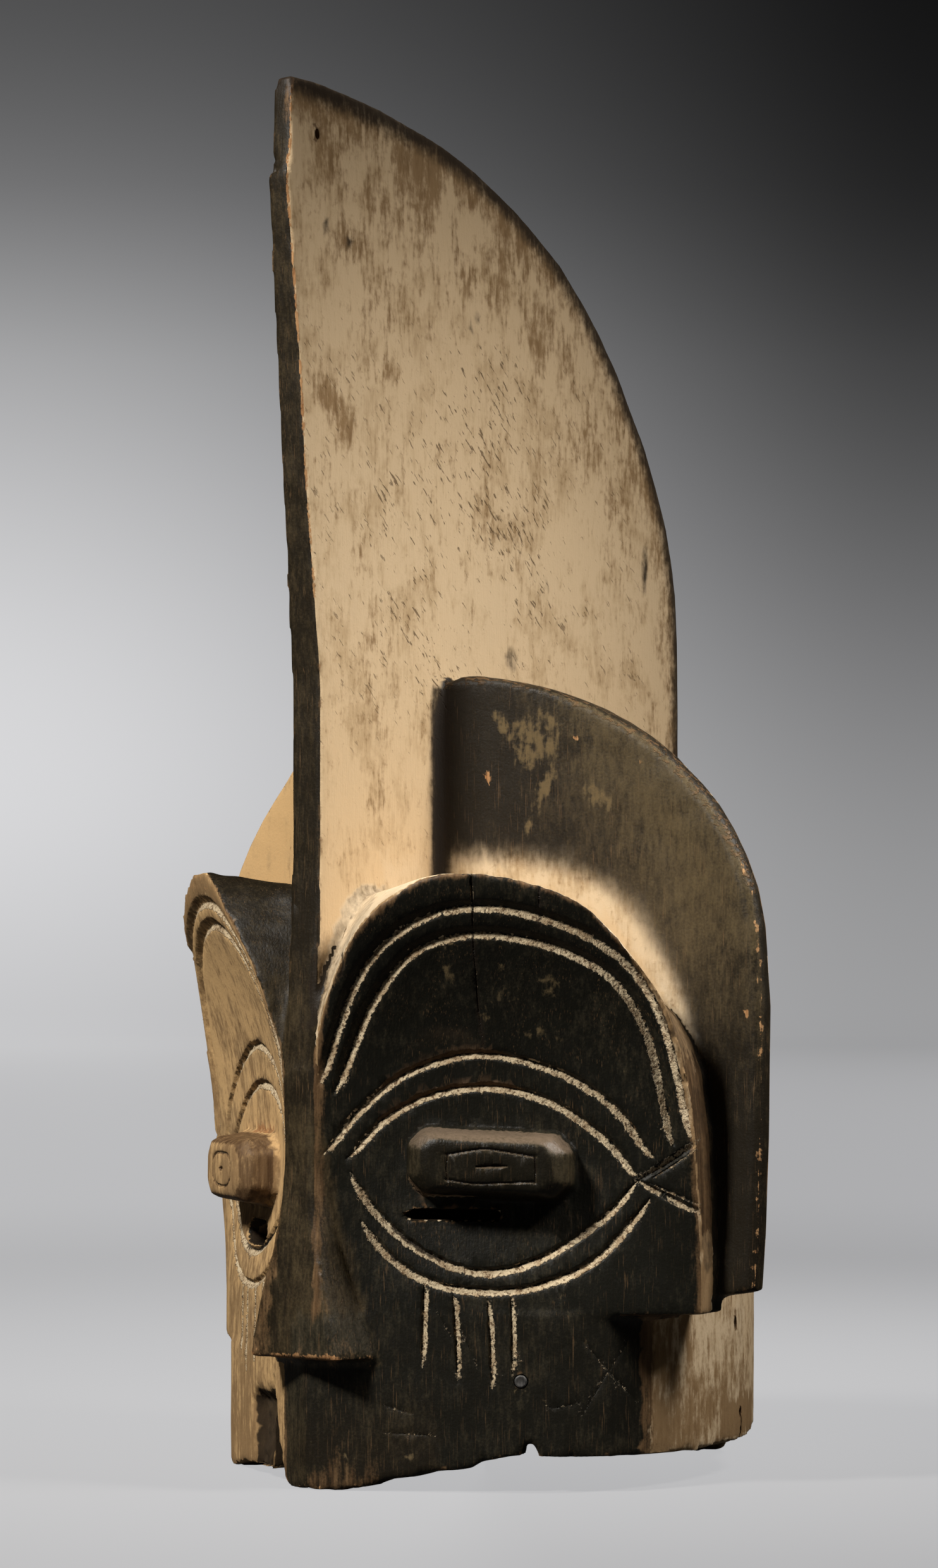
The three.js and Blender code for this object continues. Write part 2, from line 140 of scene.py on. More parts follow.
def softTable(pairs, spread):  # the table's straight runs rounded into one smooth curve
    where, what = zip(*pairs)
    at = np.arange(where[0] - 4 * spread, where[-1] + 4 * spread, 1.0)
    reach = np.arange(-3 * spread, 3 * spread + 1)
    kernel = np.exp(-0.5 * (reach / spread) ** 2)
    kernel /= kernel.sum()
    padded = np.pad(np.interp(at, where, what), len(reach) // 2, mode="edge")
    return at, np.convolve(padded, kernel, "valid")


softMiddle, softEdge, softNose, softNeck = [
    softTable(pairs, spread) for pairs, spread in
    ((reliefMiddle, 9), (reliefEdge, 9), (reliefNose, 9), (neckAhead, 10))]


def relief(along, height):
    middle = np.interp(height, *softMiddle)
    edge = np.interp(height, *softEdge)
    nose = np.interp(height, *softNose)
    outward = np.clip((along - 84) / 106, 0, 1.072) ** 2
    inward = np.clip((84 - along) / 84, 0, None) ** 2.5
    return middle + (edge - middle) * outward + nose * inward


def panelPlaces(points):  # side, distance along the face panel, ahead of its plane, height
    turn = math.radians(carving["panelTurn"])
    c, s = math.cos(turn), math.sin(turn)
    side = np.where(points[:, 0] < 0, -1.0, 1.0)
    u = np.abs(points[:, 0]) - carving["panelStart"][0]
    v = points[:, 1] - carving["centreY"] - carving["panelStart"][1]
    return side, u * c + v * s, u * s - v * c, points[:, 2]


def middlePlaces(points):  # x, y from the middle of the helmet, z
    return points[:, 0], points[:, 1] - carving["centreY"], points[:, 2]


def faceTurn(normals, side):  # 1 where a surface faces the same way as the face panel
    turn = math.radians(carving["panelTurn"])
    return normals[:, 0] * side * math.sin(turn) - normals[:, 1] * math.cos(turn)


def moveAhead(points, side, amount):
    turn = math.radians(carving["panelTurn"])
    points[:, 0] += side * amount * math.sin(turn)
    points[:, 1] -= amount * math.cos(turn)


archRight = [
    (90, -3, 192), (116, -3, 192.5), (148, -3, 191), (180, -3, 189), (212, -3, 185), (230, -3, 181),
    (246, 1, 176), (260, 6, 168.5), (274, 12.5, 158.5), (286, 20, 149), (296, 30, 139), (303, 39.5, 128),
    (308.5, 48, 114), (312, 55, 100), (314, 64, 88),
]
archLeft = [
    (66, -3, 190), (116, -3, 192.5), (148, -3, 191), (180, -3, 189), (212, -3, 186), (230, 1, 182),
    (246, 4, 177.5), (262, 9, 170), (275, 16, 162), (286, 25, 154), (296, 34, 144), (304, 42, 132),
    (311, 51, 118), (315.5, 60, 105), (318.8, 69, 93),
]
noseRoot = [(60, 37), (67, 36), (82, 31.5), (97, 27.5), (113, 23.5), (129, 20), (146, 17), (163, 14.5),
            (193, 12), (215, 11)]
flangePlan = [(0, -58), (10, -55), (40, -46), (80, -34), (110, -26), (135, -19.5), (155, -17), (190, -16)]
crestRear = [
    (200, 157), (419, 157), (453, 156.5), (478, 155), (496, 152), (516, 147), (532, 140), (558, 128),
    (580, 114), (599, 102), (618, 87), (634, 72), (652, 53), (665, 33), (681, 7), (692, -18), (701, -43),
    (707, -67), (713, -95), (717, -123), (719.4, -146), (720, -160),
]


def archSpan(side, height):
    right, left = np.array(archRight, float), np.array(archLeft, float)
    near, far = [np.where(side > 0, np.interp(height, right[:, 0], right[:, column]),
                          np.interp(height, left[:, 0], left[:, column])) for column in (1, 2)]
    return near, far


# cut lines: width of the upper and of the lower wall, depth, raggedness, how much the ends taper, clay in it
cutKinds = {
    "brow": (3.6, 4.3, 3.0, 0.45, 0.6, 1),
    "eye": (1.9, 3.9, 2.4, 0.9, 0.7, 1),
    "tear": (1.3, 3.2, 2.2, 0.35, 0.8, 1),
    "stroke": (1.8, 3.0, 2.4, 0.4, 0.5, 1),
    "thin": (0.9, 1.2, 1.1, 0.25, 0.5, 0.7),
    "eyeLine": (0.95, 0.95, 1.1, 0.12, 0, 0),
    "slit": (1.3, 1.3, 2.4, 0.25, 0.5, 0),
    "scratch": (0.5, 0.6, 0.45, 0.2, 0.4, 0.5),
    "crack": (0.75, 0.75, 4.2, 0.3, 0.8, 0),
    "hairCrack": (0.5, 0.5, 1.4, 0.2, 0.8, 0),
    "gouge": (1.5, 1.7, 1.3, 0.5, 0.6, 0),
}
# the lines in the order they are cut: surface, kind, side (0 for both), then each line as (along, height)
cuts = [
    ("face", "brow", 1, [(-1, 208), (8, 236), (20, 263), (37, 282), (60, 294), (84, 297), (110, 293),
     (138, 282), (160, 265), (175, 238), (184, 200), (187, 181)], [(6, 203), (15, 226), (27, 251), (47, 274),
     (72, 283), (97, 282.5), (125, 275), (150, 260), (166, 234), (174, 200), (178, 177)]),
    ("face", "brow", -1, [(-1, 208), (8, 238), (20, 266), (38, 286), (62, 299), (88, 302), (114, 298),
     (141, 286), (162, 268), (176, 240), (184, 202), (187, 181)], [(6, 203), (15, 228), (27, 255), (48, 279),
     (75, 289.5), (100, 289), (128, 281), (152, 264), (167, 236), (174, 200), (178, 177)]),
    ("face", "eye", 1,
     [(1, 171), (17, 192), (40, 211), (68, 221), (92, 221), (122, 212), (148, 195), (167, 170)]),
    ("face", "eye", -1,
     [(1, 171), (17, 194), (40, 214), (68, 225), (92, 225), (122, 215), (148, 197), (167, 170)]),
    ("face", "eye", 0, [(13, 169), (30, 188), (54, 201), (84, 205.5), (115, 198), (142, 180), (160, 159.5)]),
    ("face", "eye", 1, [(13, 161), (28, 140), (50, 122), (80, 111.5), (110, 118), (140, 137), (160, 157.5)],
     [(19, 136), (36, 117), (58, 105.5), (84, 102), (112, 105.5), (140, 119), (166, 148)]),
    ("face", "eye", -1,
     [(13, 161), (28, 143), (50, 126), (80, 116.5), (110, 121), (140, 138), (160, 157.5)],
     [(19, 136), (38, 115), (60, 103), (84, 99.5), (112, 104.5), (140, 120), (166, 148)]),
    ("face", "stroke", 0, [(191, 179), (177, 169), (161, 159.5)], [(161, 157.5), (177, 149), (191, 142)]),
    ("face", "thin", 0, [(168, 160), (179, 167), (189.5, 174.6)], [(166, 157), (179, 151.5), (191.5, 146)]),
    ("crack", "crack", 1, [(79, 316), (79.2, 295), (78.6, 281), (79.2, 265)]),
    ("crack", "hairCrack", 1, [(79.2, 265), (79.8, 244), (82.1, 226)],
     [(113.5, 311), (113, 300), (112.7, 286)]),
    ("crack", "gouge", 1, [(11.6, 274), (12.6, 268), (11, 262)]),
    ("scratch", "scratch", 1, [(132.1, 78.2), (145.3, 61.9), (159.2, 44.9)],
     [(154.6, 76.4), (145.3, 61.9), (132.1, 39.4)], [(113.9, 47.4), (117, 43.4), (131.5, 46.3)],
     [(30.9, 43.7), (46, 39.5)], [(30.9, 29.9), (57.2, 28.6)], [(56, 96), (63, 84), (69, 74)],
     [(69, 88), (80, 62)]),
    ("scratch", "tear", 0, [(51.6, 64), (52, 88), (52.7, 107)], [(69.7, 56), (68.7, 80), (67.3, 102)],
     [(87.4, 53), (86.4, 77), (85, 99.5)], [(97.7, 60), (97.5, 80), (97, 101)]),
    ("eye", "eyeLine", 1, [(65.5, 159), (65, 166), (65.7, 172.1)],
     [(110, 158), (110.3, 165), (109.7, 171.3)], [(65.2, 172), (81.7, 174.6), (92, 174), (110, 171)],
     [(65, 159.4), (78, 157.5), (90, 157.6), (110, 158.4)]),
    ("eye", "slit", 1, [(80.5, 165.9), (88, 166.3), (95.5, 166.2)]),
    ("eye", "eyeLine", -1, [(66, 156), (65, 161), (67, 166), (75, 169), (95, 169), (104, 166), (106, 161),
     (104, 155), (95, 152), (75, 152), (66, 156)]),
    ("eye", "slit", -1, [(83, 160.6), (89, 160.4)]),
]


def drawn(points, gap=0.8):  # a smooth line through the points, sampled every gap
    p = np.array([points[0], *points, points[-1]], float)
    p[0] = 2 * p[1] - p[2]
    p[-1] = 2 * p[-2] - p[-3]
    out = []
    for i in range(1, len(p) - 2):
        count = max(2, int(np.hypot(*(p[i + 1] - p[i])) / gap))
        t = np.linspace(0, 1, count, endpoint=False)[:, None]
        a, b, c, d = p[i - 1], p[i], p[i + 1], p[i + 2]
        bend, twist = 2 * a - 5 * b + 4 * c - d, 3 * b - a - 3 * c + d
        out.append(0.5 * (2 * b + (c - a) * t + bend * t ** 2 + twist * t ** 3))
    out.append(p[-2][None])
    return np.concatenate(out)


# distance to the line, across it to its right, place on it, and its length
def lineDistance(line, along, height, reach=9):
    distance = np.full(len(along), 99.0)
    across = np.full(len(along), 99.0)
    place = np.zeros(len(along))
    near = np.where((along > line[:, 0].min() - reach) & (along < line[:, 0].max() + reach)
                    & (height > line[:, 1].min() - reach) & (height < line[:, 1].max() + reach))[0]
    run = np.concatenate([[0], np.cumsum(np.hypot(*np.diff(line, axis=0).T))])
    heading = np.gradient(line, axis=0)
    heading /= np.maximum(np.hypot(heading[:, 0], heading[:, 1]), 1e-6)[:, None]
    for part in np.array_split(near, max(1, len(near) // 20000)):
        u = along[part, None] - line[None, :, 0]
        v = height[part, None] - line[None, :, 1]
        gaps = np.hypot(u, v)
        best = gaps.argmin(1)
        rows = np.arange(len(part))
        distance[part] = gaps[rows, best]
        across[part] = u[rows, best] * heading[best, 1] - v[rows, best] * heading[best, 0]
        place[part] = run[best]
    return distance, across, place, run[-1]


def archGap(side, along, height):  # distance outside the outline of a face panel, under 0 on it
    gap = np.full(len(side), 99.0)
    for hand, table in ((1, archRight), (-1, archLeft)):
        outline = [(far, level) for level, near, far in table]
        outline += [(near, level) for level, near, far in table[::-1]]
        chosen = np.where(side == hand)[0]
        gap[chosen] = lineDistance(drawn(outline, 1.6), along[chosen], height[chosen], 45)[0]
    near, far = archSpan(side, height)
    top = np.where(side > 0, archRight[-1][0], archLeft[-1][0])
    return np.where((along > near) & (along < far) & (height < top), -gap, gap)


def roundOutline(body, rounds):  # the outline of each face panel is worn round
    points = readPoints(body.data)
    side, along, ahead, height = panelPlaces(points)
    outside, behind = archGap(side, along, height), relief(along, height) - ahead
    ledge = np.where(side > 0, *carving["ledge"])
    onOutline = ((1 - step(np.abs(outside), 4, 9)) * step(height, ledge + 2, ledge + 10)
                 * (behind > -12) * (1 - step(behind, 30, 40)))
    points += (softened(body, rounds) - points) * onOutline[:, None]
    writePoints(body.data, points)


def carveBody():
    body = bpy.data.objects.new("carving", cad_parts["mask"].data.copy())
    body.data.materials.clear()
    bpy.context.scene.collection.objects.link(body)
    makeActive(body)
    bpy.ops.object.mode_set(mode="EDIT")
    bpy.ops.mesh.select_all(action="SELECT")
    bpy.ops.mesh.remove_doubles(threshold=0.00002)
    bpy.ops.object.mode_set(mode="OBJECT")
    applyModifier(body, "REMESH", mode="VOXEL", voxel_size=carving["voxel"] / 1000, adaptivity=0)
    print("remeshed", len(body.data.vertices))

    # soft coves where two forms meet, filled from outside only
    plain = softened(body, carving["rounding"])
    wide = softened(body, carving["coveRounds"])
    normals = readNormals(body.data)
    side, along, ahead, height = panelPlaces(plain)
    fill = np.clip(((wide - plain) * normals).sum(1), 0, 7)
    near, far = archSpan(side, height)
    onFace = (np.abs(ahead - relief(along, height)) < 4) & (along > near) & (along < far) & (height < 312)
    amount = np.where(height > 236, 1.0, 0.55) * np.where(onFace, 0.3, 1.0)
    points = plain + normals * (fill * amount)[:, None]

    # the face panels and the neck under them run in one smooth sweep
    side, along, ahead, height = panelPlaces(points)
    facing = faceTurn(normals, side)
    want = relief(along, height)
    ledge = np.where(side > 0, *carving["ledge"])
    held = ((1 - step(np.abs(ahead - want), 1.0, 2.6)) * step(facing, 0.5, 0.7)
            * step(height, ledge - 1, ledge + 4) * step(along, near, near + 6)
            * (1 - step(along, far - 7, far - 1)) * (1 - step(height, 300, 310)))
    moveAhead(points, side, (want - ahead) * held)
    writePoints(body.data, points)

    roundOutline(body, carving["outlineRounds"])
    print("smoothed")
    return body


body = carveBody()


# holes that the remesh closed: place, facing, width, height, how far in and out
holes = [
    ((127, 44, 80.5), 97, 3.4, 7.4, 34, 20),
    ((124, 53, 33), 100, 3.2, 5.8, 34, 20),
    ((124.5, 54, 22), 100, 1.1, 24, 30, 20),       # the split that runs down from the lower hole
    ((98, -95.5, 56.8), 36.25, 7.4, 7.4, 3.4, 16),
    ((0, -147.5, 692), 90, 3.4, 5.6, 20, 20),
]


def addPlug(place, facing, wide, tall, inward, outward, sides):  # a round bar facing a way, at a place in mm
    a = math.radians(facing)
    out = Vector((math.sin(a), -math.cos(a), 0))
    x, y, z = place
    middle = (Vector((x, y + carving["centreY"], z)) + out * (outward - inward) / 2) / 1000
    bpy.ops.object.select_all(action="DESELECT")
    bpy.ops.mesh.primitive_cylinder_add(vertices=sides, radius=0.0005, depth=0.001, location=middle,
                                        rotation=(math.pi / 2, 0, a), scale=(wide, tall, inward + outward))
    bpy.ops.object.transform_apply(location=True, rotation=True, scale=True)
    return bpy.context.object, out


def drillHoles():
    drills = [addPlug(*hole, 18)[0] for hole in holes]
    split = drills.pop(2)            # it crosses the lower hole, so it is cut on its own
    makeActive(drills[0])
    for drill in drills:
        drill.select_set(True)
    bpy.ops.object.join()
    for drill in (drills[0], split):
        applyModifier(body, "BOOLEAN", operation="DIFFERENCE", object=drill, solver="MANIFOLD")
        bpy.data.objects.remove(drill)
    print("holes drilled", len(body.data.vertices))


drillHoles()

# what the carving looked like before the fine cuts: the worn edges and hollows are read from it
densePoints = readPoints(body.data)
denseNormals = readNormals(body.data)
denseFine = ((softened(body, 7) - densePoints) * denseNormals).sum(1)  # under 0 on edges, over 0 in corners
denseWide = ((softened(body, 60) - densePoints) * denseNormals).sum(1)
print("edges measured")


wear = {
    "nickDepth": 1.9,        # chips along the worn edges
    "pocketDepth": 8.5,      # rotted place in the left front of the rim
    "adzeDepth": 0.3,        # facets that the adze left outside
    "gougeDepth": 0.5,       # and the gouge inside
}


def insideness(x, y, z, normals):  # 1 on the walls of the hollow
    ring = np.hypot(x / 138, y / 154)
    outward = (normals[:, 0] * x / 138 + normals[:, 1] * y / 154) / np.maximum(ring, 0.05)
    wall = step(-outward, 0.0, 0.35) * (ring < 0.95) * (z < 262)
    roof = step(-normals[:, 2], 0.2, 0.5) * (ring < 0.88) * between(z, 150, 284)
    return np.maximum(wall, roof)


def weather():
    points = densePoints.copy()
    normals = denseNormals
    side, along, ahead, height = panelPlaces(points)
    facing = faceTurn(normals, side)
    x, y, z = middlePlaces(points)
    inside = insideness(x, y, z, normals)
    edge = np.clip(-denseFine / 0.9, 0, 1)
    # chips: deep and close on the rim, sparse on the crest and flanges
    rim = 1 - step(z, 22, 40)
    zone = 0.2 + 1.45 * rim
    bite = np.clip(grain(points, 5.5, 3) - 0.18, 0, 1) * 1.5
    bite += np.clip(grain(points, (12, 12, 20), 4) - 0.35, 0, 1) * 1.2
    sunk = edge * zone * wear["nickDepth"] * bite
    # a rough break in the front edge of the crest, near its top
    breakAt = np.sqrt(((x + 5) / 6) ** 2 + ((y + 170) / 6) ** 2 + ((z - 674) / 7) ** 2)
    sunk += (1 - step(breakAt, 0.3, 1.1)) * (1.6 + 1.6 * grain(points, 3, 5))
    # adze and gouge marks
    faceted = np.abs(grain(points, (17, 17, 34), 6)) + 0.6 * np.abs(grain(points, (9, 9, 22), 7))
    sunk += faceted * wear["adzeDepth"] * (1 - inside) * (1 - edge)
    valley = (side < 0) * (np.abs(x) > 12) * step(z, 235, 250) * (facing < 0.5) * (z < 330)
    sunk += np.abs(grain(points, (11, 11, 11), 8)) * 1.1 * valley
    sunk += np.abs(grain(points, (15, 15, 46), 9)) * wear["gougeDepth"] * inside * 2
    points -= normals * sunk[:, None]
    # the rotted place
    wander = 3.2 * grain(points, 9, 12)
    place = (step(along + wander, 31, 36) * (1 - step(along + wander, 64, 74))
             * (1 - step(height + wander + 0.12 * (along - 50), 41, 51)))
    lumps = 0.72 + 0.3 * grain(points, (7, 7, 12), 13) + 0.15 * grain(points, 3.4, 14)
    rot = (side < 0) * step(facing, 0.15, 0.45) * (1 - inside) * (np.abs(ahead) < 14)
    moveAhead(points, side, -wear["pocketDepth"] * place * lumps * rot)
    # the low edge of the rim is never flat: it wears upwards
    low = (1 - step(z, 0, 16)) * (1 - step(normals[:, 2], -0.9, -0.2))
    points[:, 2] += low * np.clip(1.1 * grain(points, 7, 15) + 0.5 * grain(points, 3, 16) - 0.1, 0, 2.2)
    writePoints(body.data, points)
    print("weathered")


weather()


# how much a vertex lies on the surface that a cut is made in
def onSurface(kinds, side, along, ahead, height, facing):
    ledge = np.where(side > 0, *carving["ledge"])
    gap = ahead - relief(along, height)
    face = step(facing, 0.25, 0.5) * (1 - step(np.abs(gap), 8, 11)) * step(height, ledge - 2, ledge + 1)
    neckGap = ahead - np.interp(along, *softNeck)
    neck = step(facing, 0.25, 0.5) * (height < ledge) * (1 - step(np.abs(neckGap), 9, 14))
    if kinds == "eye":
        return step(facing, 0.8, 0.93) * step(ahead, 14.5, 16.5) * (height < 190) * (height > 140)
    if kinds == "scratch":
        return np.maximum(face, neck)
    if kinds == "crack":
        top = step(gap, -16, -9) * (height > 295)
        return np.maximum(face, top)
    return face


def eachCut():
    for name, kind, hand, *lines in cuts:
        for line in lines:
            yield name, kind, hand, line


def selectForSubdividing(body, chosen):
    makeActive(body)
    bpy.ops.object.mode_set(mode="EDIT")
    bpy.ops.mesh.select_mode(type="VERT")
    bpy.ops.mesh.select_all(action="DESELECT")
    bpy.ops.object.mode_set(mode="OBJECT")
    body.data.vertices.foreach_set("select", chosen)
    bpy.ops.object.mode_set(mode="EDIT")
    bpy.ops.mesh.select_mode(type="FACE")
    bpy.ops.mesh.subdivide(number_cuts=1)
    bpy.ops.object.mode_set(mode="OBJECT")


def finerNear(body, which, margin):
    side, along, ahead, height = panelPlaces(readPoints(body.data))
    facing = faceTurn(readNormals(body.data), side)
    chosen = np.zeros(len(side), bool)
    for name, kind, hand, line in eachCut():
        if which and name not in which and kind not in which:
            continue
        upper, lower = cutKinds[kind][:2]
        distance = lineDistance(drawn(line), along, height)[0]
        near = distance < max(upper, lower) + margin
        near = near & (onSurface(name, side, along, ahead, height, facing) > 0)
        chosen |= near & ((side == hand) | (hand == 0))
    selectForSubdividing(body, chosen)
    print("finer near the cuts", len(body.data.vertices))


def cutLines(body):
    finerNear(body, None, 1.6)
    finerNear(body, ("crack", "eye", "scratch", "thin", "tear"), 0.6)
    mesh = body.data
    points = readPoints(mesh)
    side, along, ahead, height = panelPlaces(points)
    facing = faceTurn(readNormals(mesh), side)
    sunk = np.zeros(len(points))
    for number, (name, kind, hand, line) in enumerate(eachCut()):
        upper, lower, deep, rag, taper, _ = cutKinds[kind]
        distance, across, place, length = lineDistance(drawn(line), along, height)
        chosen = np.where((distance < max(upper, lower) + 3) & ((side == hand) | (hand == 0)))[0]
        if not len(chosen):
            continue
        near = points[chosen]
        wobble = rag * (0.9 * grain(near, 2.6, 11 + number) + 0.6 * grain(near, 6, 31 + number))
        ends = 1 - taper * (1 - step(place[chosen], -2, min(16, length / 3)) *
                            (1 - step(place[chosen], length - min(16, length / 3), length + 2)))
        if name == "crack":
            ends = 1 - taper * step(place[chosen], 4, length)
        s = across[chosen] + (lower - upper) / 2 + 0.4 * wobble
        beyond = np.clip(distance[chosen] - np.abs(across[chosen]), 0, None)     # past the ends of the line
        width = np.where(s < 0, upper, lower) * ends + 0.35 * wobble
        shape = np.clip(1 - np.hypot(s, beyond) / np.maximum(width, 0.3), 0, 1)
        lumps = 1 + 0.3 * rag * grain(near, 2.2, 51 + number)
        amount = deep * ends * shape * lumps * onSurface(name, side[chosen], along[chosen], ahead[chosen],
                                                         height[chosen], facing[chosen])
        sunk[chosen] = np.maximum(sunk[chosen], amount)
    moveAhead(points, side, -sunk)
    writePoints(mesh, points)
    print("lines cut")


cutLines(body)


def thin(body):  # keeps the fine cuts, and takes most from the hollow and the broad faces
    mesh = body.data
    points = readPoints(mesh)
    normals = readNormals(mesh)
    side, along, ahead, height = panelPlaces(points)
    x, y, z = middlePlaces(points)
    facing = faceTurn(normals, side)
    keep = np.zeros(len(points))
    for name, _, hand, line in eachCut():
        distance = lineDistance(drawn(line), along, height, 7)[0]
        keep = np.maximum(keep, (1 - step(distance, 4, 6)) * ((side == hand) | (hand == 0))
                          * (onSurface(name, side, along, ahead, height, facing) > 0))
    inside = insideness(x, y, z, normals)
    weight = np.clip(0.5 + 0.5 * inside - 0.38 * keep, 0.125, 1)
    group = body.vertex_groups.new(name="thinning")
    levels = np.round(weight * 8).astype(int)
    for level in range(9):
        group.add(np.where(levels == level)[0].tolist(), level / 8, "REPLACE")
    count = sum(len(p.vertices) - 2 for p in mesh.polygons)
    applyModifier(body, "DECIMATE", ratio=min(1, carving["keptTriangles"] / count), vertex_group="thinning",
                  vertex_group_factor=5e-6, use_collapse_triangulate=True)
    body.vertex_groups.clear()
    print("thinned from", count, "to", len(body.data.polygons))


thin(body)
roundOutline(body, carving["outlineRoundsAfter"])
makeActive(body)
bpy.ops.object.shade_smooth_by_angle(angle=math.radians(42))


# the coats of paint, the wear, the stains and the painted shade in corners, grooves and undersides are
# measured here as smooth fields on the vertices, and the material breaks their borders up with finer patterns

def blots(u, v, table):  # above 0 inside a round patch: place, reach, strength
    field = np.full(len(u), -1.0)
    for atU, atV, reachU, reachV, strength in table:
        field = np.maximum(field, strength * (1 - np.hypot((u - atU) / reachU, (v - atV) / reachV)))
    return field


def trails(u, v, table):  # above 0 inside a stroke: width, then its points
    field = np.full(len(u), -1.0)
    for width, line in table:
        distance = lineDistance(drawn(line), u, v, width * 2 + 2)[0]
        field = np.maximum(field, np.clip(1 - distance / width, -1, 1))
    return field


paint = {
    "brushEdge": 166,         # the black on the right of the neck stops here, along the panel
    "clayOnFlange": (3, 25),  # reach of the clay that runs up the flange from the brow
    "rearBand": (4, 21),      # dirty band along the back of the crest
    "crestFoot": 322,         # the crest stands free above this height
    "corner": (11, -57),      # where crest and flange meet, across and back
    "cornerHeights": (296, 414),
    "eyeAlong": 85.5,         # middle of the eye blocks along the panel, then their height, right and left
    "eyeHeight": (166.5, 160.5),
    "eyeReach": (46, 21),
    "slitAlong": (34, 108),   # the opening under each eye block
    "slitHeight": (117, 146),
    "wallBrown": (96, 128),   # behind the left brow the black gives way to brown here, along the panel
    "label": (198, 211.5, 21.5, 38),       # bare patch by the rim, from and to along it, then in height
}

# crest, right side, as (y, z): brown worn patches, then stains
crestWorn = [
    (-65, 681, 34, 42, 1.0), (-92, 660, 26, 26, 0.6), (-137, 683, 22, 30, 0.65), (-123, 640, 24, 18, 0.75),
    (-143, 559, 13, 19, 1.0), (-128, 543, 13, 20, 0.8), (-100, 578, 26, 16, 0.5), (-110, 610, 40, 30, 0.4),
    (40, 612, 34, 46, 0.6), (70, 560, 26, 40, 0.5), (2, 648, 30, 20, 0.55), (95, 520, 20, 40, 0.45),
    (-140, 712, 40, 12, 0.8), (-80, 712, 50, 10, 0.6), (-30, 640, 60, 40, 0.32), (110, 470, 20, 60, 0.3),
    (-100, 396, 22, 20, 0.4), (-105, 430, 18, 26, 0.35), (-60, 400, 16, 22, 0.32), (-115, 480, 14, 40, 0.3),
    (-30, 500, 60, 50, 0.22), (-104, 352, 12, 20, 0.3),
]
crestStains = [
    (-123, 640, 4.5, 6.5, 1.0), (-23, 615, 4.6, 6, 1.1), (-27, 609, 2.4, 4, 1.0), (122, 490, 4.5, 17, 1.0),
    (4, 433, 7, 9, 0.75), (5, 429, 3.5, 4, 0.9), (35, 474, 3, 3.4, 1.5), (31, 477, 6, 2.2, 0.7),
    (-119, 612, 2.2, 2.4, 1.0), (-141, 648, 2, 3, 1.0), (-147, 622, 1.8, 2, 0.9), (-24, 596, 1.6, 2.2, 1.0),
]
crestPits = [(-20, 560, 60, 60, 1.4), (-30, 520, 70, 70, 1.2), (-70, 440, 40, 50, 1.3), (20, 490, 60, 60, 1),
             (-85, 520, 40, 60, 0.9)]
crestScratches = [
    (0.9, [(-120, 596), (-90, 606), (-70, 600)]), (0.8, [(-146, 600), (-118, 594)]),
    (0.8, [(-112, 597), (-68, 593)]), (0.8, [(-23, 566), (10, 578), (50, 580)]),
    (0.8, [(-66, 619), (-48, 606), (0, 598)]), (0.9, [(-135, 540), (-146, 566), (-146, 590)]),
]
# flange, right side, as (x, z): clay smears, then bright chips
flangeSmears = [
    (4.6, [(41, 399), (45, 392), (51, 384), (56, 380)]), (8, [(56, 391), (63, 388), (64, 382), (58, 377)]),
    (5, [(66, 398), (71, 392), (73, 384)]), (3.4, [(73, 385), (72, 371), (66, 358), (59, 344), (55, 338)]),
    (2.6, [(60, 372), (63, 360), (60, 350)]), (5.4, [(89, 358), (96, 355), (102, 350)]),
    (1.6, [(101, 350), (107, 346)]),
]
flangeScratches = [(0.8, [(72.5, 407), (77, 398), (82, 389)])]
flangeChips = [
    (83, 384.5, 1.2, 2.6, 1.8), (50, 367, 1.1, 2.6, 1.3), (36, 366, 1, 2, 1), (42, 371, 2, 0.9, 0.9),
    (118, 374, 1.8, 2.4, 1.2), (121, 381, 1.3, 1.8, 1), (170, 272, 1.3, 2.8, 1.8), (181, 244, 1.1, 2, 1.8),
    (137, 372, 2, 1.1, 1), (148, 360, 1.4, 1.4, 1),
]
# face, right side, as (along, height): drips of clay, faint brown patches, scrapes
faceDrips = [
    (1.8, [(91.8, 275), (92.8, 268), (93.2, 261)]), (2.9, [(92.3, 258), (93.2, 256.5)]),
    (2.2, [(114, 261), (118.5, 258.5), (117, 253), (114, 250.5)]),
    (1.8, [(103, 231), (110, 234), (116, 233), (122, 230.5)]), (1.6, [(64, 266), (65.5, 262)]),
    (1.5, [(79, 243), (84, 241)]),
]
faceStains = [
    (67.2, 277.8, 2.6, 3, 1.6), (84, 243, 9, 6, 0.8), (100, 250, 24, 12, 0.55), (62, 262, 10, 12, 0.5),
    (120, 262, 8, 8, 0.6), (70, 236, 14, 7, 0.4), (150, 230, 14, 20, 0.4), (122, 100, 10, 5, 0.8),
    (126, 92, 5, 4, 0.9),
]
neckDust = [
    (2.6, 21, 3, 3, 1.2), (13.1, 18.6, 4.2, 3.2, 1.5), (22, 20.6, 2.4, 2.4, 1.2), (26.5, 23, 2.6, 2.4, 1.1),
    (45, 18.3, 4.2, 2.8, 1.4), (72.9, 22.3, 2.2, 2.2, 1.1), (100.6, 51.6, 4.4, 1.7, 1.8),
    (113, 46.4, 2.6, 1.6, 1), (131, 77, 4, 2.4, 0.8),
]


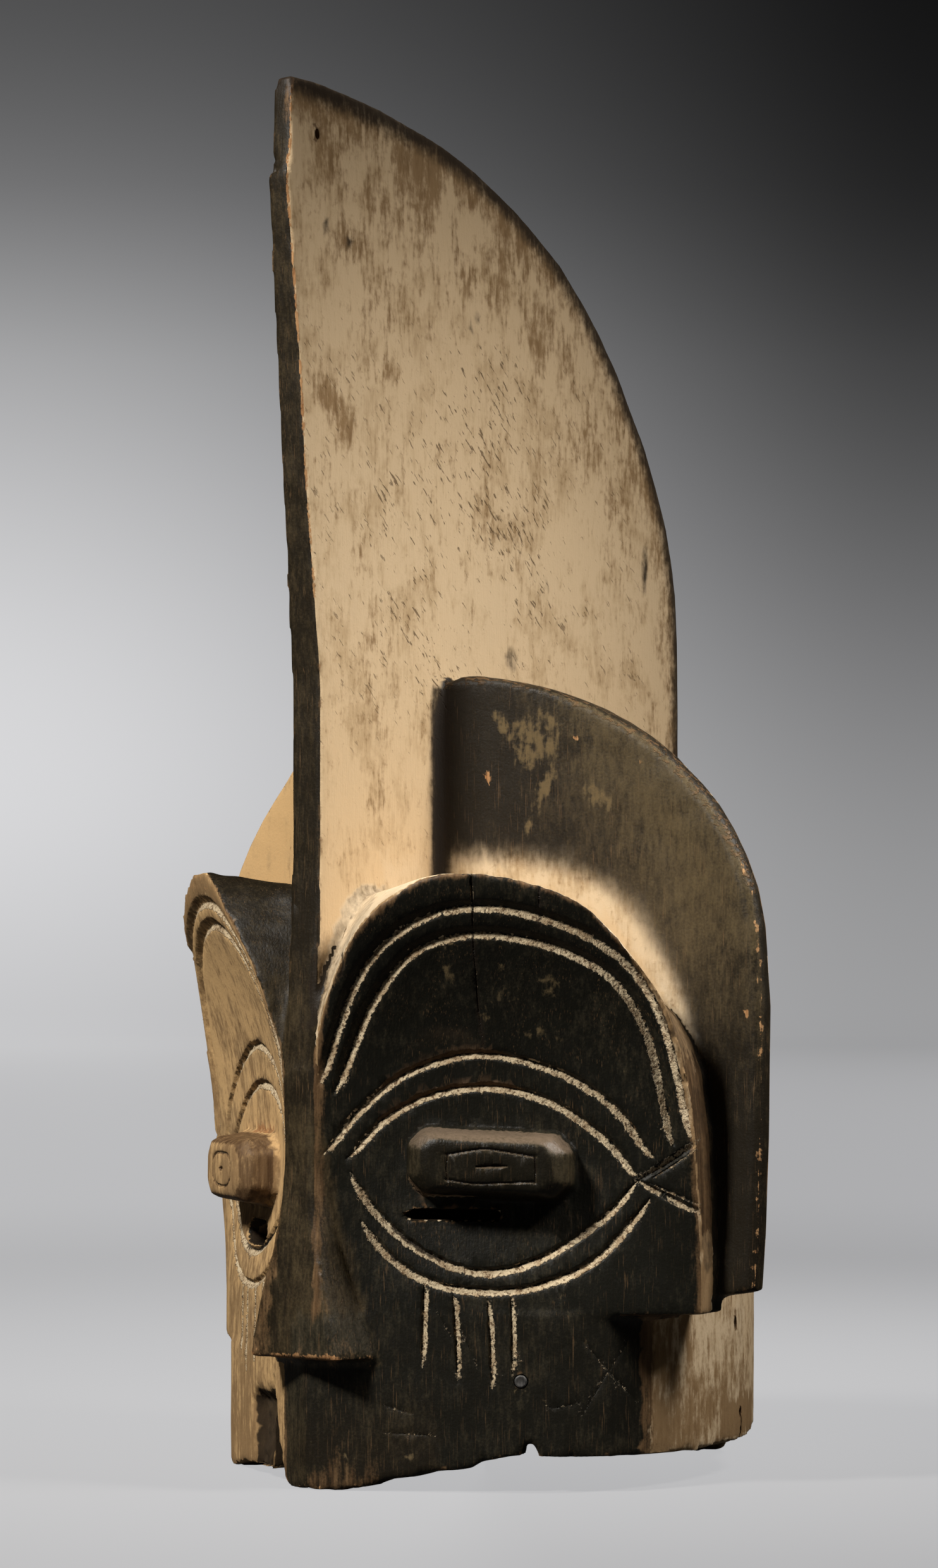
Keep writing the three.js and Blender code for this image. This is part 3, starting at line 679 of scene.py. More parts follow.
def crestFront():  # the line of the crest's front edge, and half its thickness there, by height
    x, y, z = np.abs(densePoints[:, 0]), densePoints[:, 1] - carving["centreY"], densePoints[:, 2]
    levels, leads, halves = np.arange(300, 722, 8), [], []
    for level in levels:
        near = (np.abs(z - level) < 6) & (x < 13) & (y < -60)
        lead = np.percentile(y[near & (x < 4)], 8)
        halves.append(np.percentile(x[near & (y > lead + 4) & (y < lead + 18)], 90))
        leads.append(lead)
    return levels, leads, halves


# the attributes that carry the fields to the material
fieldNames = ("blackCoat", "warmBlack", "wornPatch", "edgeWear", "rawChip", "grimeAndShade", "grooveClay", "smear",
              "pitted", "ochre", "gloss", "topBand", "bareInside", "softBorder", "rubbedAndSheen", "arris",
              "arrisWear")


def lay(field, value, where):  # puts the value into the field at those places
    np.copyto(field, value, where=where)


def raiseTo(field, value, where=True):  # the same, but only upwards
    np.copyto(field, np.maximum(field, value), where=where)


def paintFields(body):
    mesh = body.data
    points, normals = readPoints(mesh), readNormals(mesh)
    side, along, ahead, height = panelPlaces(points)
    x, y, z = middlePlaces(points)
    ax = np.abs(x)
    right, left = side > 0, side < 0
    facing = faceTurn(normals, side)
    gap = ahead - relief(along, height)
    neckGap = ahead - np.interp(along, *softNeck)
    outside = archGap(side, along, height)
    ledge = np.where(right, *carving["ledge"])
    front = np.interp(ax, *zip(*flangePlan)) - y      # ahead of the front of the flange
    inside = insideness(x, y, z, normals)
    outer = inside < 0.5
    towards = -normals[:, 1]

    # worn edges, and closed corners that are darkened as painted shade, from the dense mesh
    tree = KDTree(len(densePoints) // 2 + 1)
    for index, place in enumerate(densePoints[::2] / 1000):
        tree.insert(place, index)
    tree.balance()
    nearest = np.array([tree.find(place)[1] for place in points / 1000])
    fine, wide = denseFine[::2][nearest], denseWide[::2][nearest]
    edge = np.clip(-fine / 0.8, 0, 1)
    # how closed a place is: closed corners darken the colour as painted shade
    corner = np.clip(fine / 0.8, 0, 1) * 0.6 + np.clip(wide / 4, 0, 1) * 0.6
    print("edges carried over")

    reachAlong, reachUp = paint["eyeReach"]
    eyeBase = np.abs(z - np.where(right, *paint["eyeHeight"])) < reachUp
    eyeBase = eyeBase & (np.abs(along - paint["eyeAlong"]) < reachAlong) & (ahead > -12)
    eyeBlock = eyeBase & (gap > 2.5) & (ahead > 0.5)
    noseZone = (ax < np.interp(z, *zip(*noseRoot)) + 0.8) & (y < -116) & between(z, 62, 226) & outer
    slit = between(along, *paint["slitAlong"]) & between(z, *paint["slitHeight"])
    slit = slit & (gap < -1.5) & (ahead > -60) & outer
    onCrest = (ax < 13) & (z > 236) & ((z > paint["crestFoot"]) | (y < -100) | (front < -10))
    strip = (ax < 12) & (towards > 0.45) & (y < -140) & (z > 196)
    clayedSide = onCrest & right & ~strip
    panel = step(facing, 0.42, 0.66) * step(gap, -4.5, -2) * (outside < 2) * (height > ledge - 0.5)
    panel = np.maximum(panel, 1.0 * (eyeBase & (outside < 0) & outer))
    flange = between(front, -19, 7) & (ax > 11) & (z > 88) & (outside > -2) & (panel < 0.5)
    flangeFace = flange * step(towards, 0.3, 0.6)
    flangeRim = flange * (1 - step(towards, 0.3, 0.6)) * (normals[:, 1] < 0.55)
    block = (front >= 5) & (z > ledge) & (ax > 10.5) & (panel < 0.5) & outer
    ring = right & block & (along > 132) & (outside < 16) & (z < 262)       # its side towards the flange

    # black: from -1, none, to 1, whole
    clayUp = np.interp(z, (180, 240, 300), (0.25, 0.5, 1))
    low, high = paint["clayOnFlange"]
    cove = 1 - np.clip((outside - low * clayUp) / (high * clayUp), 0, 1)          # counterchanged on the left
    black = np.full(len(x), -1.0)
    lay(black, np.where(right, 1 - 2 * cove ** 2.4, -1 + 1.4 * cove), flangeFace > 0.3)
    lay(black, np.where(right, 0.8, -0.2), flangeRim > 0.4)
    leftWall = 1 - 1.7 * step(along, *paint["wallBrown"])  # black over the brow, brown at the side
    lay(black, np.where(right, -1, leftWall), block)
    lay(black, np.interp(z, (118, 138, 205, 248), (-1, 0.55, 0.5, -0.7)), ring)
    root = np.hypot(ax - paint["corner"][0], y - paint["corner"][1])  # from the corner of crest and flange
    # black paint in the corner of crest and flange, with a painted shadow of the flange spreading onto the
    # crest
    raiseTo(black, 1 - root / 5.5 - step(z, 402, 418) * 2, right & (root < 22) & between(z, 296, 420))
    lay(black, 0.7, onCrest & ~strip & left)
    lay(black, 0.8, left & (front > 4) & (ax < 15) & (z > 236) & outer)
    helmetRear = (z < 320) & (front < -18) & outer & ~onCrest
    lay(black, np.where(right, -1, 0.55), helmetRear)
    lip = np.clip((outside - gap) / 1.2, -1, 1)  # across the panel's outline, over 0 on the wall behind it
    nearLip = between(outside, -7, 4) & (gap > -9) & (height > ledge + 1) & outer & (ax > 11)
    behind = np.where(nearLip, np.where(right, np.maximum(black, -lip), np.minimum(leftWall, lip)), black)
    lay(black, np.where(right, 1, -1), panel > 0.5)
    lay(black, behind, nearLip)
    brush = np.clip((paint["brushEdge"] - along) / 7, -1, 1)
    neck = (z < ledge + 0.5) & outer & (y < 60)
    lay(black, np.where(right, brush, np.clip((14 - along) / 4, -1, 1)), neck)
    lay(black, np.clip((y + 10) / 12, -1, 0.7), neck & left & (y > -10))
    # the underside of the ledge on the right painted black: painted shade under the ledge
    under = neck & (normals[:, 2] < -0.5) & (z > ledge - 3)
    lay(black, 1.0, under & right)
    lay(black, 1.0, noseZone | (strip & ((z < 312) | left)))
    levels, leads, halves = crestFront()
    # millimetres from the front edge of the crest: over 0 on its side, under 0 in front
    arris = (y - np.interp(z, levels, leads)) - (np.interp(z, levels, halves) - x)
    arris = np.where((ax < 14) & (z > 300), np.clip(arris, -20, 30), 30)
    arrisWear = np.interp(z, (300, 330, 400, 470, 560, 720), (0, 0.1, 0.3, 0.56, 0.66, 0.66)) * (x > -2)
    lay(black, -0.3 + 0.5 * (1 - step(facing, 0.8, 0.95)), eyeBlock & left)
    # the opening under each eye painted black: painted shade in it
    lay(black, 1.0, slit & (outside < -4))

    # brown instead of black
    warm = np.where(right, 0.25, 0.4)
    lay(warm, 0.9, flange | (block & left))
    lay(warm, 1.0, noseZone | strip)
    lay(warm, 0.55, eyeBlock)
    lay(warm, 0.35 + 0.5 * (1 - step(z, 18, 60)) * (along < 60), neck)

    # worn to the wood
    worn = np.clip(blots(y, z, crestWorn), 0, 1) * clayedSide
    rear = lineDistance(drawn([(a, b) for b, a in crestRear], 2.5), y, z, 60)[0]
    tall = onCrest & (z > paint["crestFoot"])
    raiseTo(worn, tall * right * (1 - step(rear, 5, 40)) * 0.62)
    lay(worn, worn + 0.13 * step(z, 540, 700) * (worn < 0.8), tall & right)
    lay(worn, 0.5 + 0.35 * (1 - step(z, 10, 46)), neck & left & (along > 10))
    underNose = np.exp(-((along - 8) / 26) ** 2)
    raiseTo(worn, 0.34 * (1 - step(z, 3, 17)) + 0.3 * (1 - step(z, 12, 60)) * underNose, neck & right)
    raiseTo(worn, 0.8 - (along - 160) * 0.005, neck & right & (along > 160))
    raiseTo(worn, 0.5 + 0.6 * step(along, 132, 165), ring)
    lay(worn, 0.36 + 0.14 * (z < 150), (panel > 0.5) & left)
    lay(worn, 0.62 + 0.3 * step(z, 250, 290), (panel > 0.5) & left & (outside > -13))
    raiseTo(worn, 0.78 * step(outside, -7, -1), (panel > 0.5) & right)
    lay(worn, 0.62 + 0.5 * (1 - step(facing, 0.75, 0.95)), eyeBlock & left)
    lay(worn, 0.75, (normals[:, 1] > 0.4) & flange)
    lay(worn, 0.4, helmetRear)
    raiseTo(worn, (noseZone & (z < ledge + 26)) * 0.35 * (1 - step(z, 66, 92)))

    # raw orange wood on chips
    raw = edge * 0.42
    rounded = np.exp(-((towards - 0.55) / 0.28) ** 2) * (normals[:, 0] > 0.2)
    lay(raw, np.maximum(edge * 0.6, 0.5 * rounded * step(ax, 140, 178)), flange & right & (ax > 120))
    lay(raw, edge * np.where(along > 120, 0.8, 0.42), (outside > -4) & right & (panel > 0.2))
    lay(raw, edge * 0.5, (outside > -5) & left & (panel > 0.2))
    raiseTo(raw, 0.42, (outside > -12) & left & (panel > 0.2) & (z > 286))
    raiseTo(raw, 0.34 * (1 - step(z, 2, 18)) + 0.3 * edge, (z < 22) & outer)
    raiseTo(raw, 0.5 * edge + 0.4 * (1 - step(z, 67, 77)), noseZone & (z < 84))
    raiseTo(raw, np.clip(blots(x, z, flangeChips), 0, 1) * (flangeFace > 0.5) * right * 1.4)
    near, far, low, high = paint["label"]
    label = np.minimum(np.minimum(along - near, far - along), np.minimum(z - low, high - z))
    onLabel = np.clip(0.5 + label, 0, 1) * (right & between(y, 20, 80) & outer & (z < 60))
    raiseTo(worn, onLabel * 1.3)
    crackOnEye = left & (np.abs(height - 182) < 2.5) & between(along, 60, 100) & (gap < 6) & (panel > 0.4)
    raiseTo(raw, crackOnEye * 0.8)
    raw *= 1 - inside

    # painted shade in the corners and creases, real stains, the dark band at the back of the crest
    grimeAndShade = corner * np.where(right & block, 0.25, 0.75)
    raiseTo(grimeAndShade, np.clip(blots(y, z, crestStains), 0, 1) ** 0.5 * clayedSide)
    raiseTo(grimeAndShade, np.clip(trails(y, z, crestScratches), 0, 1) * 0.45 * clayedSide)
    low, high = paint["rearBand"]
    raiseTo(grimeAndShade, tall * (1 - step(rear, low, high)) * 0.98)
    # painted shade in the corner of crest and flange
    raiseTo(grimeAndShade, 1 - step(root, 3, 9), right & (root < 12) & between(z, *paint["cornerHeights"]))
    # painted shade in the hollow between crest and brow
    raiseTo(grimeAndShade, 0.5, right & block & (z > 236) & (along < 26))
    # the side of the panel towards the flange darkened: dirt and painted shade in the channel
    raiseTo(grimeAndShade, 0.62 * step(along, 140, 172) * (1 - 0.6 * (z < 112)), ring)
    # the right side of the crest darker low down, between crest and brow: painted shade
    raiseTo(grimeAndShade, 0.8 * (1 - step(z, 262, 300)), right & onCrest & (z < 300) & (x > 6))
    crevice = right & (root < 15) & between(z, *paint["cornerHeights"]) & (ax > 6)
    lay(warm, 0.9, crevice)
    # the rotted pocket is made dark all over
    pocket = left & (neckGap < -2.2) & (z < 54) & between(along, 10, 80) & outer & (facing > -0.3)
    lay(grimeAndShade, 1.1, pocket)
    # faces that look down, and the foot of the rim, darkened as painted shade
    raiseTo(grimeAndShade, 0.6, (normals[:, 2] < -0.6) & outer & (z > 40))
    lay(grimeAndShade, 0.55, (z < 2.5) & (normals[:, 2] < -0.6))

    # clay in the cut lines, as millimetres inside its borders
    clay = np.full(len(x), -2.0)
    grooveShade = np.zeros(len(x))
    for name, kind, hand, line in eachCut():
        upper, lower, deep, _, taper, filled = cutKinds[kind]
        distance, across, place, length = lineDistance(drawn(line), along, height)
        mine = onSurface(name, side, along, ahead + deep * 0.6, height, np.maximum(facing, 0.55))
        mine = (mine > 0.3) & (facing > -0.1) & ((side == hand) | (hand == 0))
        s = across + (lower - upper) / 2
        beyond = np.clip(distance - np.abs(across), 0, None)        # past the ends of the line
        ends = 1 - taper * (1 - step(place, -2, 9) * (1 - step(place, length - 9, length + 2)))
        inner = np.minimum(s + 0.1, 0.9 * lower * ends - s) - beyond * 1.5
        inner = np.where((distance < 8) & mine, inner, -2)
        if filled:
            raiseTo(clay, np.clip(inner, -2, 2) * filled - (1 - filled) * 0.4)
        if kind in ("crack", "hairCrack", "slit", "gouge", "eyeLine"):
            raiseTo(grooveShade, (1 - step(np.hypot(s, beyond), 0.2, 1.3)) * mine)
    # cracks, slits, gouges and eye lines darkened inside as painted shade
    raiseTo(grimeAndShade, grooveShade * 0.95)
    # the opening under each eye darkened as painted shade
    lay(grimeAndShade, 0.9, slit & (outside < -4))
    lay(clay, -2, inside > 0.5)

    # clay smeared over the black
    smear = np.full(len(x), -1.0)
    onFlange = right & (flangeFace > 0.5)
    lay(smear, np.maximum(trails(x, z, flangeSmears), trails(x, z, flangeScratches)), onFlange)
    onFace = right & (panel > 0.5) & ~eyeBlock
    faint = 0.75 * blots(along, height, faceStains) - 0.35
    lay(smear, np.maximum(trails(along, height, faceDrips), faint), onFace)
    onNeck = right & neck & (facing > 0.3)
    lay(smear, blots(along, height, neckDust), onNeck)

    # fine slanting pits in the clay of the crest
    pits = 0.55 + 0.45 * np.clip(blots(y, z, crestPits), 0, 1)
    pits *= step(z, 300, 420) * (1 - step(z, 590, 640)) * clayedSide * (1 - step(rear, 40, 10))
    raiseTo(pits, 0.35 * step(z, 280, 330), right & onCrest & (z <= 420))

    ochre = np.where(right, 0.42, 1.0)
    lay(ochre, np.interp(z, (280, 460, 720), (0.62, 0.42, 0.5)), right & onCrest)
    lay(ochre, 0.1, right & (block | (flangeFace > 0.3)))
    lay(ochre, 0.3, neck & right)
    gloss = np.where(eyeBlock & right, 0.9, np.where(noseZone, 0.35, np.where(panel > 0.5, 0.3, 0.2)))
    lay(gloss, 0.8, left & (outside > -8) & (panel > 0.2))
    lay(gloss, -1.2, crevice | pocket)
    # rubbed bare, with painted sheen and highlight: the bevels of the right eye, lighter on top, and the
    # outer part of the flange, lighter where a sheen would lie
    rubbedAndSheen = np.where(right, 0.1, 0.35)
    lay(rubbedAndSheen, -0.12 + 0.84 * step(ax + 0.5 * (z - 300), 60, 150) * step(z, 150, 300), flangeFace > 0.3)
    lay(rubbedAndSheen, 0.45, noseZone)
    # the flange darker near its corner with the crest: painted shade
    lay(rubbedAndSheen, -0.6, right & (root < 16) & (z > 296))
    lay(rubbedAndSheen, 0.2, block & left)
    lay(rubbedAndSheen, 0.2, strip)
    # the tops of the bevels lighter than their sides: painted highlight
    bevel = (1 - step(facing, 0.8, 0.97)) * (0.4 + 0.6 * step(normals[:, 2], 0.0, 0.5))
    bevel *= normals[:, 2] > -0.25
    lay(rubbedAndSheen, -0.05 + 0.98 * bevel, eyeBlock & right)

    # soft borders: the clay on the flange, and the painted shadow by the corner of crest and flange
    soft = np.where((flangeFace > 0.3) & (z > 200), 1.0, 0.8 * (right & (root < 20) & between(z, 290, 420)))
    band = np.where(flange & (normals[:, 2] > 0.3) & (z > 300), 1.0, 0.0)

    fields = (black, warm, worn, edge, raw, grimeAndShade, clay, smear, pits, ochre, gloss, band, inside, soft,
              rubbedAndSheen, arris, arrisWear)
    for name, field in zip(fieldNames, fields):
        layer = mesh.attributes.new(name, "FLOAT", "POINT")
        layer.data.foreach_set("value", np.ascontiguousarray(field, dtype=np.float32))
    print("fields measured")


paintFields(body)


# the material of the carving

tones = {
    "clayPale": (0.60, 0.485, 0.335), "clayOchre": (0.52, 0.335, 0.155), "clayStained": (0.36, 0.245, 0.125),
    "clayWorn": (0.25, 0.155, 0.072), "woodWorn": (0.15, 0.082, 0.034),
    "blackCold": (0.0055, 0.0060, 0.0042), "blackRubbed": (0.040, 0.035, 0.022),
    "brownDark": (0.013, 0.0093, 0.0048), "brownRubbed": (0.055, 0.039, 0.019),
    "burnishAndSheenGrey": (0.125, 0.09, 0.061), "burnishAndSheenBrown": (0.105, 0.077, 0.037),
    "woodDark": (0.085, 0.045, 0.02), "woodLight": (0.21, 0.125, 0.06),
    "chipDark": (0.22, 0.09, 0.03), "chipLight": (0.42, 0.24, 0.11), "dirtAndShade": (0.016, 0.011, 0.007),
    "grooveClay": (0.58, 0.47, 0.31), "grooveBrown": (0.30, 0.21, 0.12), "smearClay": (0.14, 0.1, 0.048),
    "hollowDark": (0.07, 0.042, 0.023), "hollowLight": (0.16, 0.10, 0.055),
}


class Wire:  # a value or a colour in a material, so that a sum of patterns is written as a sum
    def __init__(self, tree, socket):
        self.tree, self.socket = tree, socket

    def math(self, operation, b=0.0, c=0.0, clamp=False):
        return put(self.tree, "Math", {0: self, 1: b, 2: c}, operation=operation, use_clamp=clamp)

    def __add__(self, other):
        return self.math("ADD", other)

    def __sub__(self, other):
        return self.math("SUBTRACT", other)

    def __rsub__(self, other):
        return put(self.tree, "Math", {0: other, 1: self}, operation="SUBTRACT")

    def __mul__(self, other):
        return self.math("MULTIPLY", other)


def put(tree, kind, sockets, output=0, **settings):
    node = tree.nodes.new("ShaderNode" + kind)
    for name, value in settings.items():
        setattr(node, name, value)
    for socket, value in sockets.items():
        if isinstance(value, Wire):
            tree.links.new(value.socket, node.inputs[socket])
        else:
            node.inputs[socket].default_value = value
    return Wire(tree, node.outputs[output])


def newMaterial(name):
    material = bpy.data.materials.new(name)
    material.use_nodes = True
    tree = material.node_tree
    return material, tree, tree.nodes["Principled BSDF"], put(tree, "TexCoord", {}, "Object")


def dress(material, tone, roughness, relief, strength, depth):
    tree = material.node_tree
    bump = put(tree, "Bump", {"Strength": strength, "Distance": depth, "Height": relief}, "Normal")
    for socket, wire in (("Base Color", tone), ("Roughness", roughness), ("Normal", bump)):
        tree.links.new(wire.socket, tree.nodes["Principled BSDF"].inputs[socket])


def noise(place, scale, detail=3.0, roughness=0.55, distortion=0.0):  # three scales stretch it along x, y, z
    if isinstance(scale, tuple):
        place, scale = put(place.tree, "VectorMath", {0: place, 1: scale}, operation="MULTIPLY"), 1
    sockets = {"Vector": place, "Scale": scale, "Detail": detail, "Roughness": roughness,
               "Distortion": distortion}
    return put(place.tree, "TexNoise", sockets, "Fac")


def sharp(value, low, high, to=1.0):  # 0 below low, to above high
    sockets = {"Value": value, "From Min": low, "From Max": high, "To Min": 0.0, "To Max": to}
    return put(value.tree, "MapRange", sockets, interpolation_type="SMOOTHSTEP")


def blend(amount, a, b):  # each a wire, a colour, or the name of a tone
    a, b = [value if isinstance(value, Wire) else (*tones.get(value, value), 1) for value in (a, b)]
    return put(amount.tree, "Mix", {0: amount, 6: a, 7: b}, 2, data_type="RGBA", blend_type="MIX",
               clamp_factor=True)


def total(*terms):  # a sum of wires or (noise, strength), where the noise is taken about its middle
    out = None
    for term in terms:
        if isinstance(term, tuple):
            term = term[0].math("MULTIPLY_ADD", term[1], -0.5 * term[1])
        out = term if out is None else out + term
    return out


def mottle(low, high, *terms, to=1.0):
    return sharp(total(*terms), low, high, to)


def paintedWood():
    material, tree, shader, place = newMaterial("paintedWood")
    (black, warm, worn, edge, raw, grimeAndShade, clay, smear, pitted, ochre, gloss, band, bare, soft, rubAndSheen, arris,
     arrisWear) = [put(tree, "Attribute", {}, "Fac", attribute_name=name) for name in fieldNames]

    fibre = noise(place, (330, 330, 20), 4)               # long wood fibres, upright
    fibreFine = noise(place, (1000, 1000, 70))
    streak = noise(place, (100, 100, 32), 5, 0.62)        # upright worn streaks
    streakFine = noise(place, (400, 400, 95), 4, 0.62)
    cloud = noise(place, 17, 5, 0.6, 0.4)
    patch = noise(place, 62, 4, 0.6, 0.3)
    speckle = noise(place, 250, 4, 0.62)
    crumb = noise(place, 760, 3, 0.6)
    hair = noise(place, (1500, 1500, 60), 2, 0.5)         # hair-thin upright scratches
    hair = sharp(hair, 0.60, 0.70) * sharp(streak, 0.4, 0.62)
    # fibres run up, and on the tops of the flanges they are cut through and show as long loops
    loops = sharp(noise(place, (55, 420, 420), 4, 0.6), 0.50, 0.60) * band

    wood = blend(sharp(fibre, 0.3, 0.72), "woodDark", "woodLight")
    chip = blend(mottle(-0.25, 0.25, (fibreFine, 1.0), (speckle, 0.5)), "chipDark", "chipLight")

    # clay: pale or ochre, mottled, rubbed thin in upright streaks, with fine dirt
    clayTone = blend(ochre, "clayPale", "clayOchre")
    stained = mottle(-0.16, 0.42, (cloud, 1.7), (streak, 0.9), (streakFine, 0.9), (patch, 1.1), to=0.62)
    clayTone = blend(stained, clayTone, "clayStained")
    spotted = mottle(0.1, 0.6, (speckle, 1.5), (streakFine, 0.8), (crumb, 0.8), (cloud, 1.0), to=0.5)
    clayTone = blend(spotted, clayTone, "clayWorn")
    rubbed = mottle(0.16, 0.8, worn, (streak, 1.7), (streakFine, 1.2), (speckle, 0.8), (cloud, 0.9), to=0.95)
    thinBrown = blend(mottle(-0.1, 0.4, (streakFine, 1.0), (fibre, 0.6), to=0.7), "clayWorn", "woodWorn")
    clayTone = blend(rubbed, clayTone, thinBrown)

    # black: cold or brown, rubbed to a grey sheen
    blackTone = blend(warm, "blackCold", "brownDark")
    dulled = mottle(0.0, 0.9, rubAndSheen, (patch, 0.9), (streakFine, 1.4), (cloud, 1.0), (crumb, 0.8), to=0.92)
    blackTone = blend(dulled, blackTone, blend(warm, "blackRubbed", "brownRubbed"))
    blackTone = blend(hair * 0.3, blackTone, "woodLight")
    # the burnished tone is real rubbing, and painted sheen on the flange and the eye bevels
    burnishAndSheen = blend(sharp(warm, 0.6, 0.85), "burnishAndSheenGrey", "burnishAndSheenBrown")
    shiny = mottle(0.45, 1.15, rubAndSheen, (patch, 0.5), (streakFine, 0.7), (crumb, 0.5))
    blackTone = blend(shiny, blackTone, burnishAndSheen)
    wornBlack = mottle(0.36, 0.9, worn, (streak, 1.2), (streakFine, 0.9), (crumb, 0.4), to=0.85)
    blackTone = blend(wornBlack, blackTone, wood)

    black = black.math("MAXIMUM", sharp(arris, 0.9, -0.9, 2.0) - 1.0)
    unevenness = total((streakFine, 0.9), (speckle, 0.7), (streak, 0.7))
    cover = sharp(unevenness * (soft * -0.5 + 1.0) + black, soft * -0.8 - 0.1, soft * 0.8 + 0.16)
    tone = blend(cover, clayTone, blackTone)

    # edges worn to brown wood, then fresh chips, also along the front edge of the crest
    wornEdge = mottle(0.42, 0.85, edge, (speckle, 0.9), (patch, 0.7), (streakFine, 0.4), to=0.88)
    tone = blend(wornEdge, tone, wood)
    tone = blend(loops * 0.5, tone, "woodWorn")
    arrisLine = sharp((arris - 0.2).math("ABSOLUTE"), 2.4, 0.5) * arrisWear
    fresh = mottle(0.52, 0.66, raw.math("MAXIMUM", arrisLine), (speckle, 1.0), (patch, 0.6), (fibreFine, 0.5))
    tone = blend(fresh, tone, chip)

    # clay rubbed over the black, and packed into the cut lines
    smeared = mottle(0.15, 0.9, smear, (streakFine, 1.8), (speckle, 1.8), (patch, 1.0), to=0.85)
    tone = blend(smeared, tone, "smearClay")
    packed = mottle(-0.1, 0.4, clay, (speckle, 3.0), (crumb, 2.4))
    packedTone = blend(mottle(-0.2, 0.3, (patch, 1.0), (speckle, 0.8)), "grooveClay", "grooveBrown")
    packedTone = blend(sharp(noise(place, 560, 3, 0.6), 0.52, 0.62, 0.85), packedTone, "woodDark")
    tone = blend(packed * 0.96, tone, packedTone)

    # slanting pits in the clay of the crest
    ways = ((260, 0, 0), (0, 80, -88), (0, 390, 355))
    slant = [put(tree, "VectorMath", {0: place, 1: way}, "Value", operation="DOT_PRODUCT") for way in ways]
    slant = put(tree, "CombineXYZ", dict(enumerate(slant)))
    pits = mottle(0.2, 0.28, (noise(slant, 1, 3, 0.6), 1.0), (cloud, 0.25), pitted * 0.12)
    pits = pits * pitted.math("MULTIPLY", 1.2, clamp=True)
    tone = blend(pits * 0.75, tone, "woodDark")

    # stains and painted shade over all, and bare wood inside
    grimeAndShadeCover = mottle(0.22, 1.0, grimeAndShade, (speckle, 0.5), (streakFine, 0.5), (patch, 0.35), to=0.93)
    tone = blend(grimeAndShadeCover, tone, "dirtAndShade")
    hollow = blend(mottle(-0.3, 0.35, (fibre, 1.0), (cloud, 0.7)), "hollowDark", "hollowLight")
    tone = blend(bare, tone, hollow)

    # gloss: the black is burnished, the clay and the raw wood are dry
    dry = packed.math("MAXIMUM", smeared).math("MAXIMUM", fresh)
    polish = cover * (1.0 - dry) * (1.0 - bare)
    roughness = total(polish * -0.33 + 0.86 + gloss * -0.14, (patch, 0.22), (crumb, 0.12))
    roughness = roughness.math("MAXIMUM", 0.24)
    shader.inputs["Specular IOR Level"].default_value = 0.17
    relief = total((fibreFine, 0.30), (streakFine, 0.35), (crumb, 0.30), (speckle, 0.28))
    relief = relief + pits * -0.9 + loops * 0.7 + packed * (crumb * 1.5 + speckle * 1.5) + rubbed * -0.16
    dress(material, tone, roughness, relief, 0.75, 0.0007)
    return material


body.data.materials.clear()          # the drills leave an empty slot
body.data.materials.append(paintedWood())
print("carving painted")
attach(body, "root")
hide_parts("mask")


# the peg left in the hole on the right of the neck

peg = {
    "middle": (98, -95.5, 56.8), "facing": 36.25, "width": 6.5, "height": 5, "sunk": 0.2,    # mm, degrees
    "tone": (0.02, 0.019, 0.018), "toneLight": (0.06, 0.056, 0.052),
}


def carvePeg():
    piece, out = addPlug(peg["middle"], peg["facing"], peg["width"], peg["width"],
                         peg["height"] + peg["sunk"], -peg["sunk"], 20)
    piece.name = "neckPeg"
    for face in piece.data.polygons:
        face.select = face.normal.dot(out) > 0.9
    bpy.ops.object.mode_set(mode="EDIT")
    bpy.ops.mesh.select_mode(type="FACE")
    bpy.ops.mesh.inset(thickness=0.0007, depth=0.0005)
    bpy.ops.mesh.inset(thickness=0.0009, depth=-0.0003)
    bpy.ops.object.mode_set(mode="OBJECT")
    applyModifier(piece, "BEVEL", width=0.00025, segments=2, limit_method="ANGLE")
    bpy.ops.object.shade_smooth_by_angle(angle=math.radians(50))
    material, _, _, place = newMaterial("pegWood")
    grainy = noise(place, (900, 900, 260), 4)
    tone = blend(sharp(grainy, 0.35, 0.65), peg["tone"], peg["toneLight"])
    dress(material, tone, grainy * 0.4 + 0.35, grainy, 0.6, 0.0003)
    piece.data.materials.append(material)
    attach(piece, "root")
    print("peg set")


carvePeg()


# floor, lights and camera

studio = {
    "photo": (1484, 2480), "azimuth": 40, "distance": 2.3, "eyeHeight": 0.244, "aim": (781, 1600),
    "focal": 6765,
    "floorTone": (0.3, 0.3, 0.305), "farLeft": (0.57, 0.57, 0.58), "farRight": (0.333, 0.333, 0.34),
    "midLeft": (0.50, 0.50, 0.51), "midRight": (0.42, 0.42, 0.43),
    "pool": (0.66, 0.66, 0.672), "poolPlace": (-0.33, 0.40, 0),      # the brightest part of the floor, behind
    "backLeft": ((0, 0.54), (0.05, 0.73), (0.1, 0.62), (0.15, 0.38), (0.19, 0.14), (0.24, 0.06)),
    "backRight": ((0, 0.345), (0.05, 0.27), (0.1, 0.13), (0.15, 0.04), (0.19, 0.012), (0.24, 0.005)),
    "fill": (0.55, 0.52, 0.5), "fillStrength": 0.012, "floorBounce": (0.06, 0.06, 0.06),
}


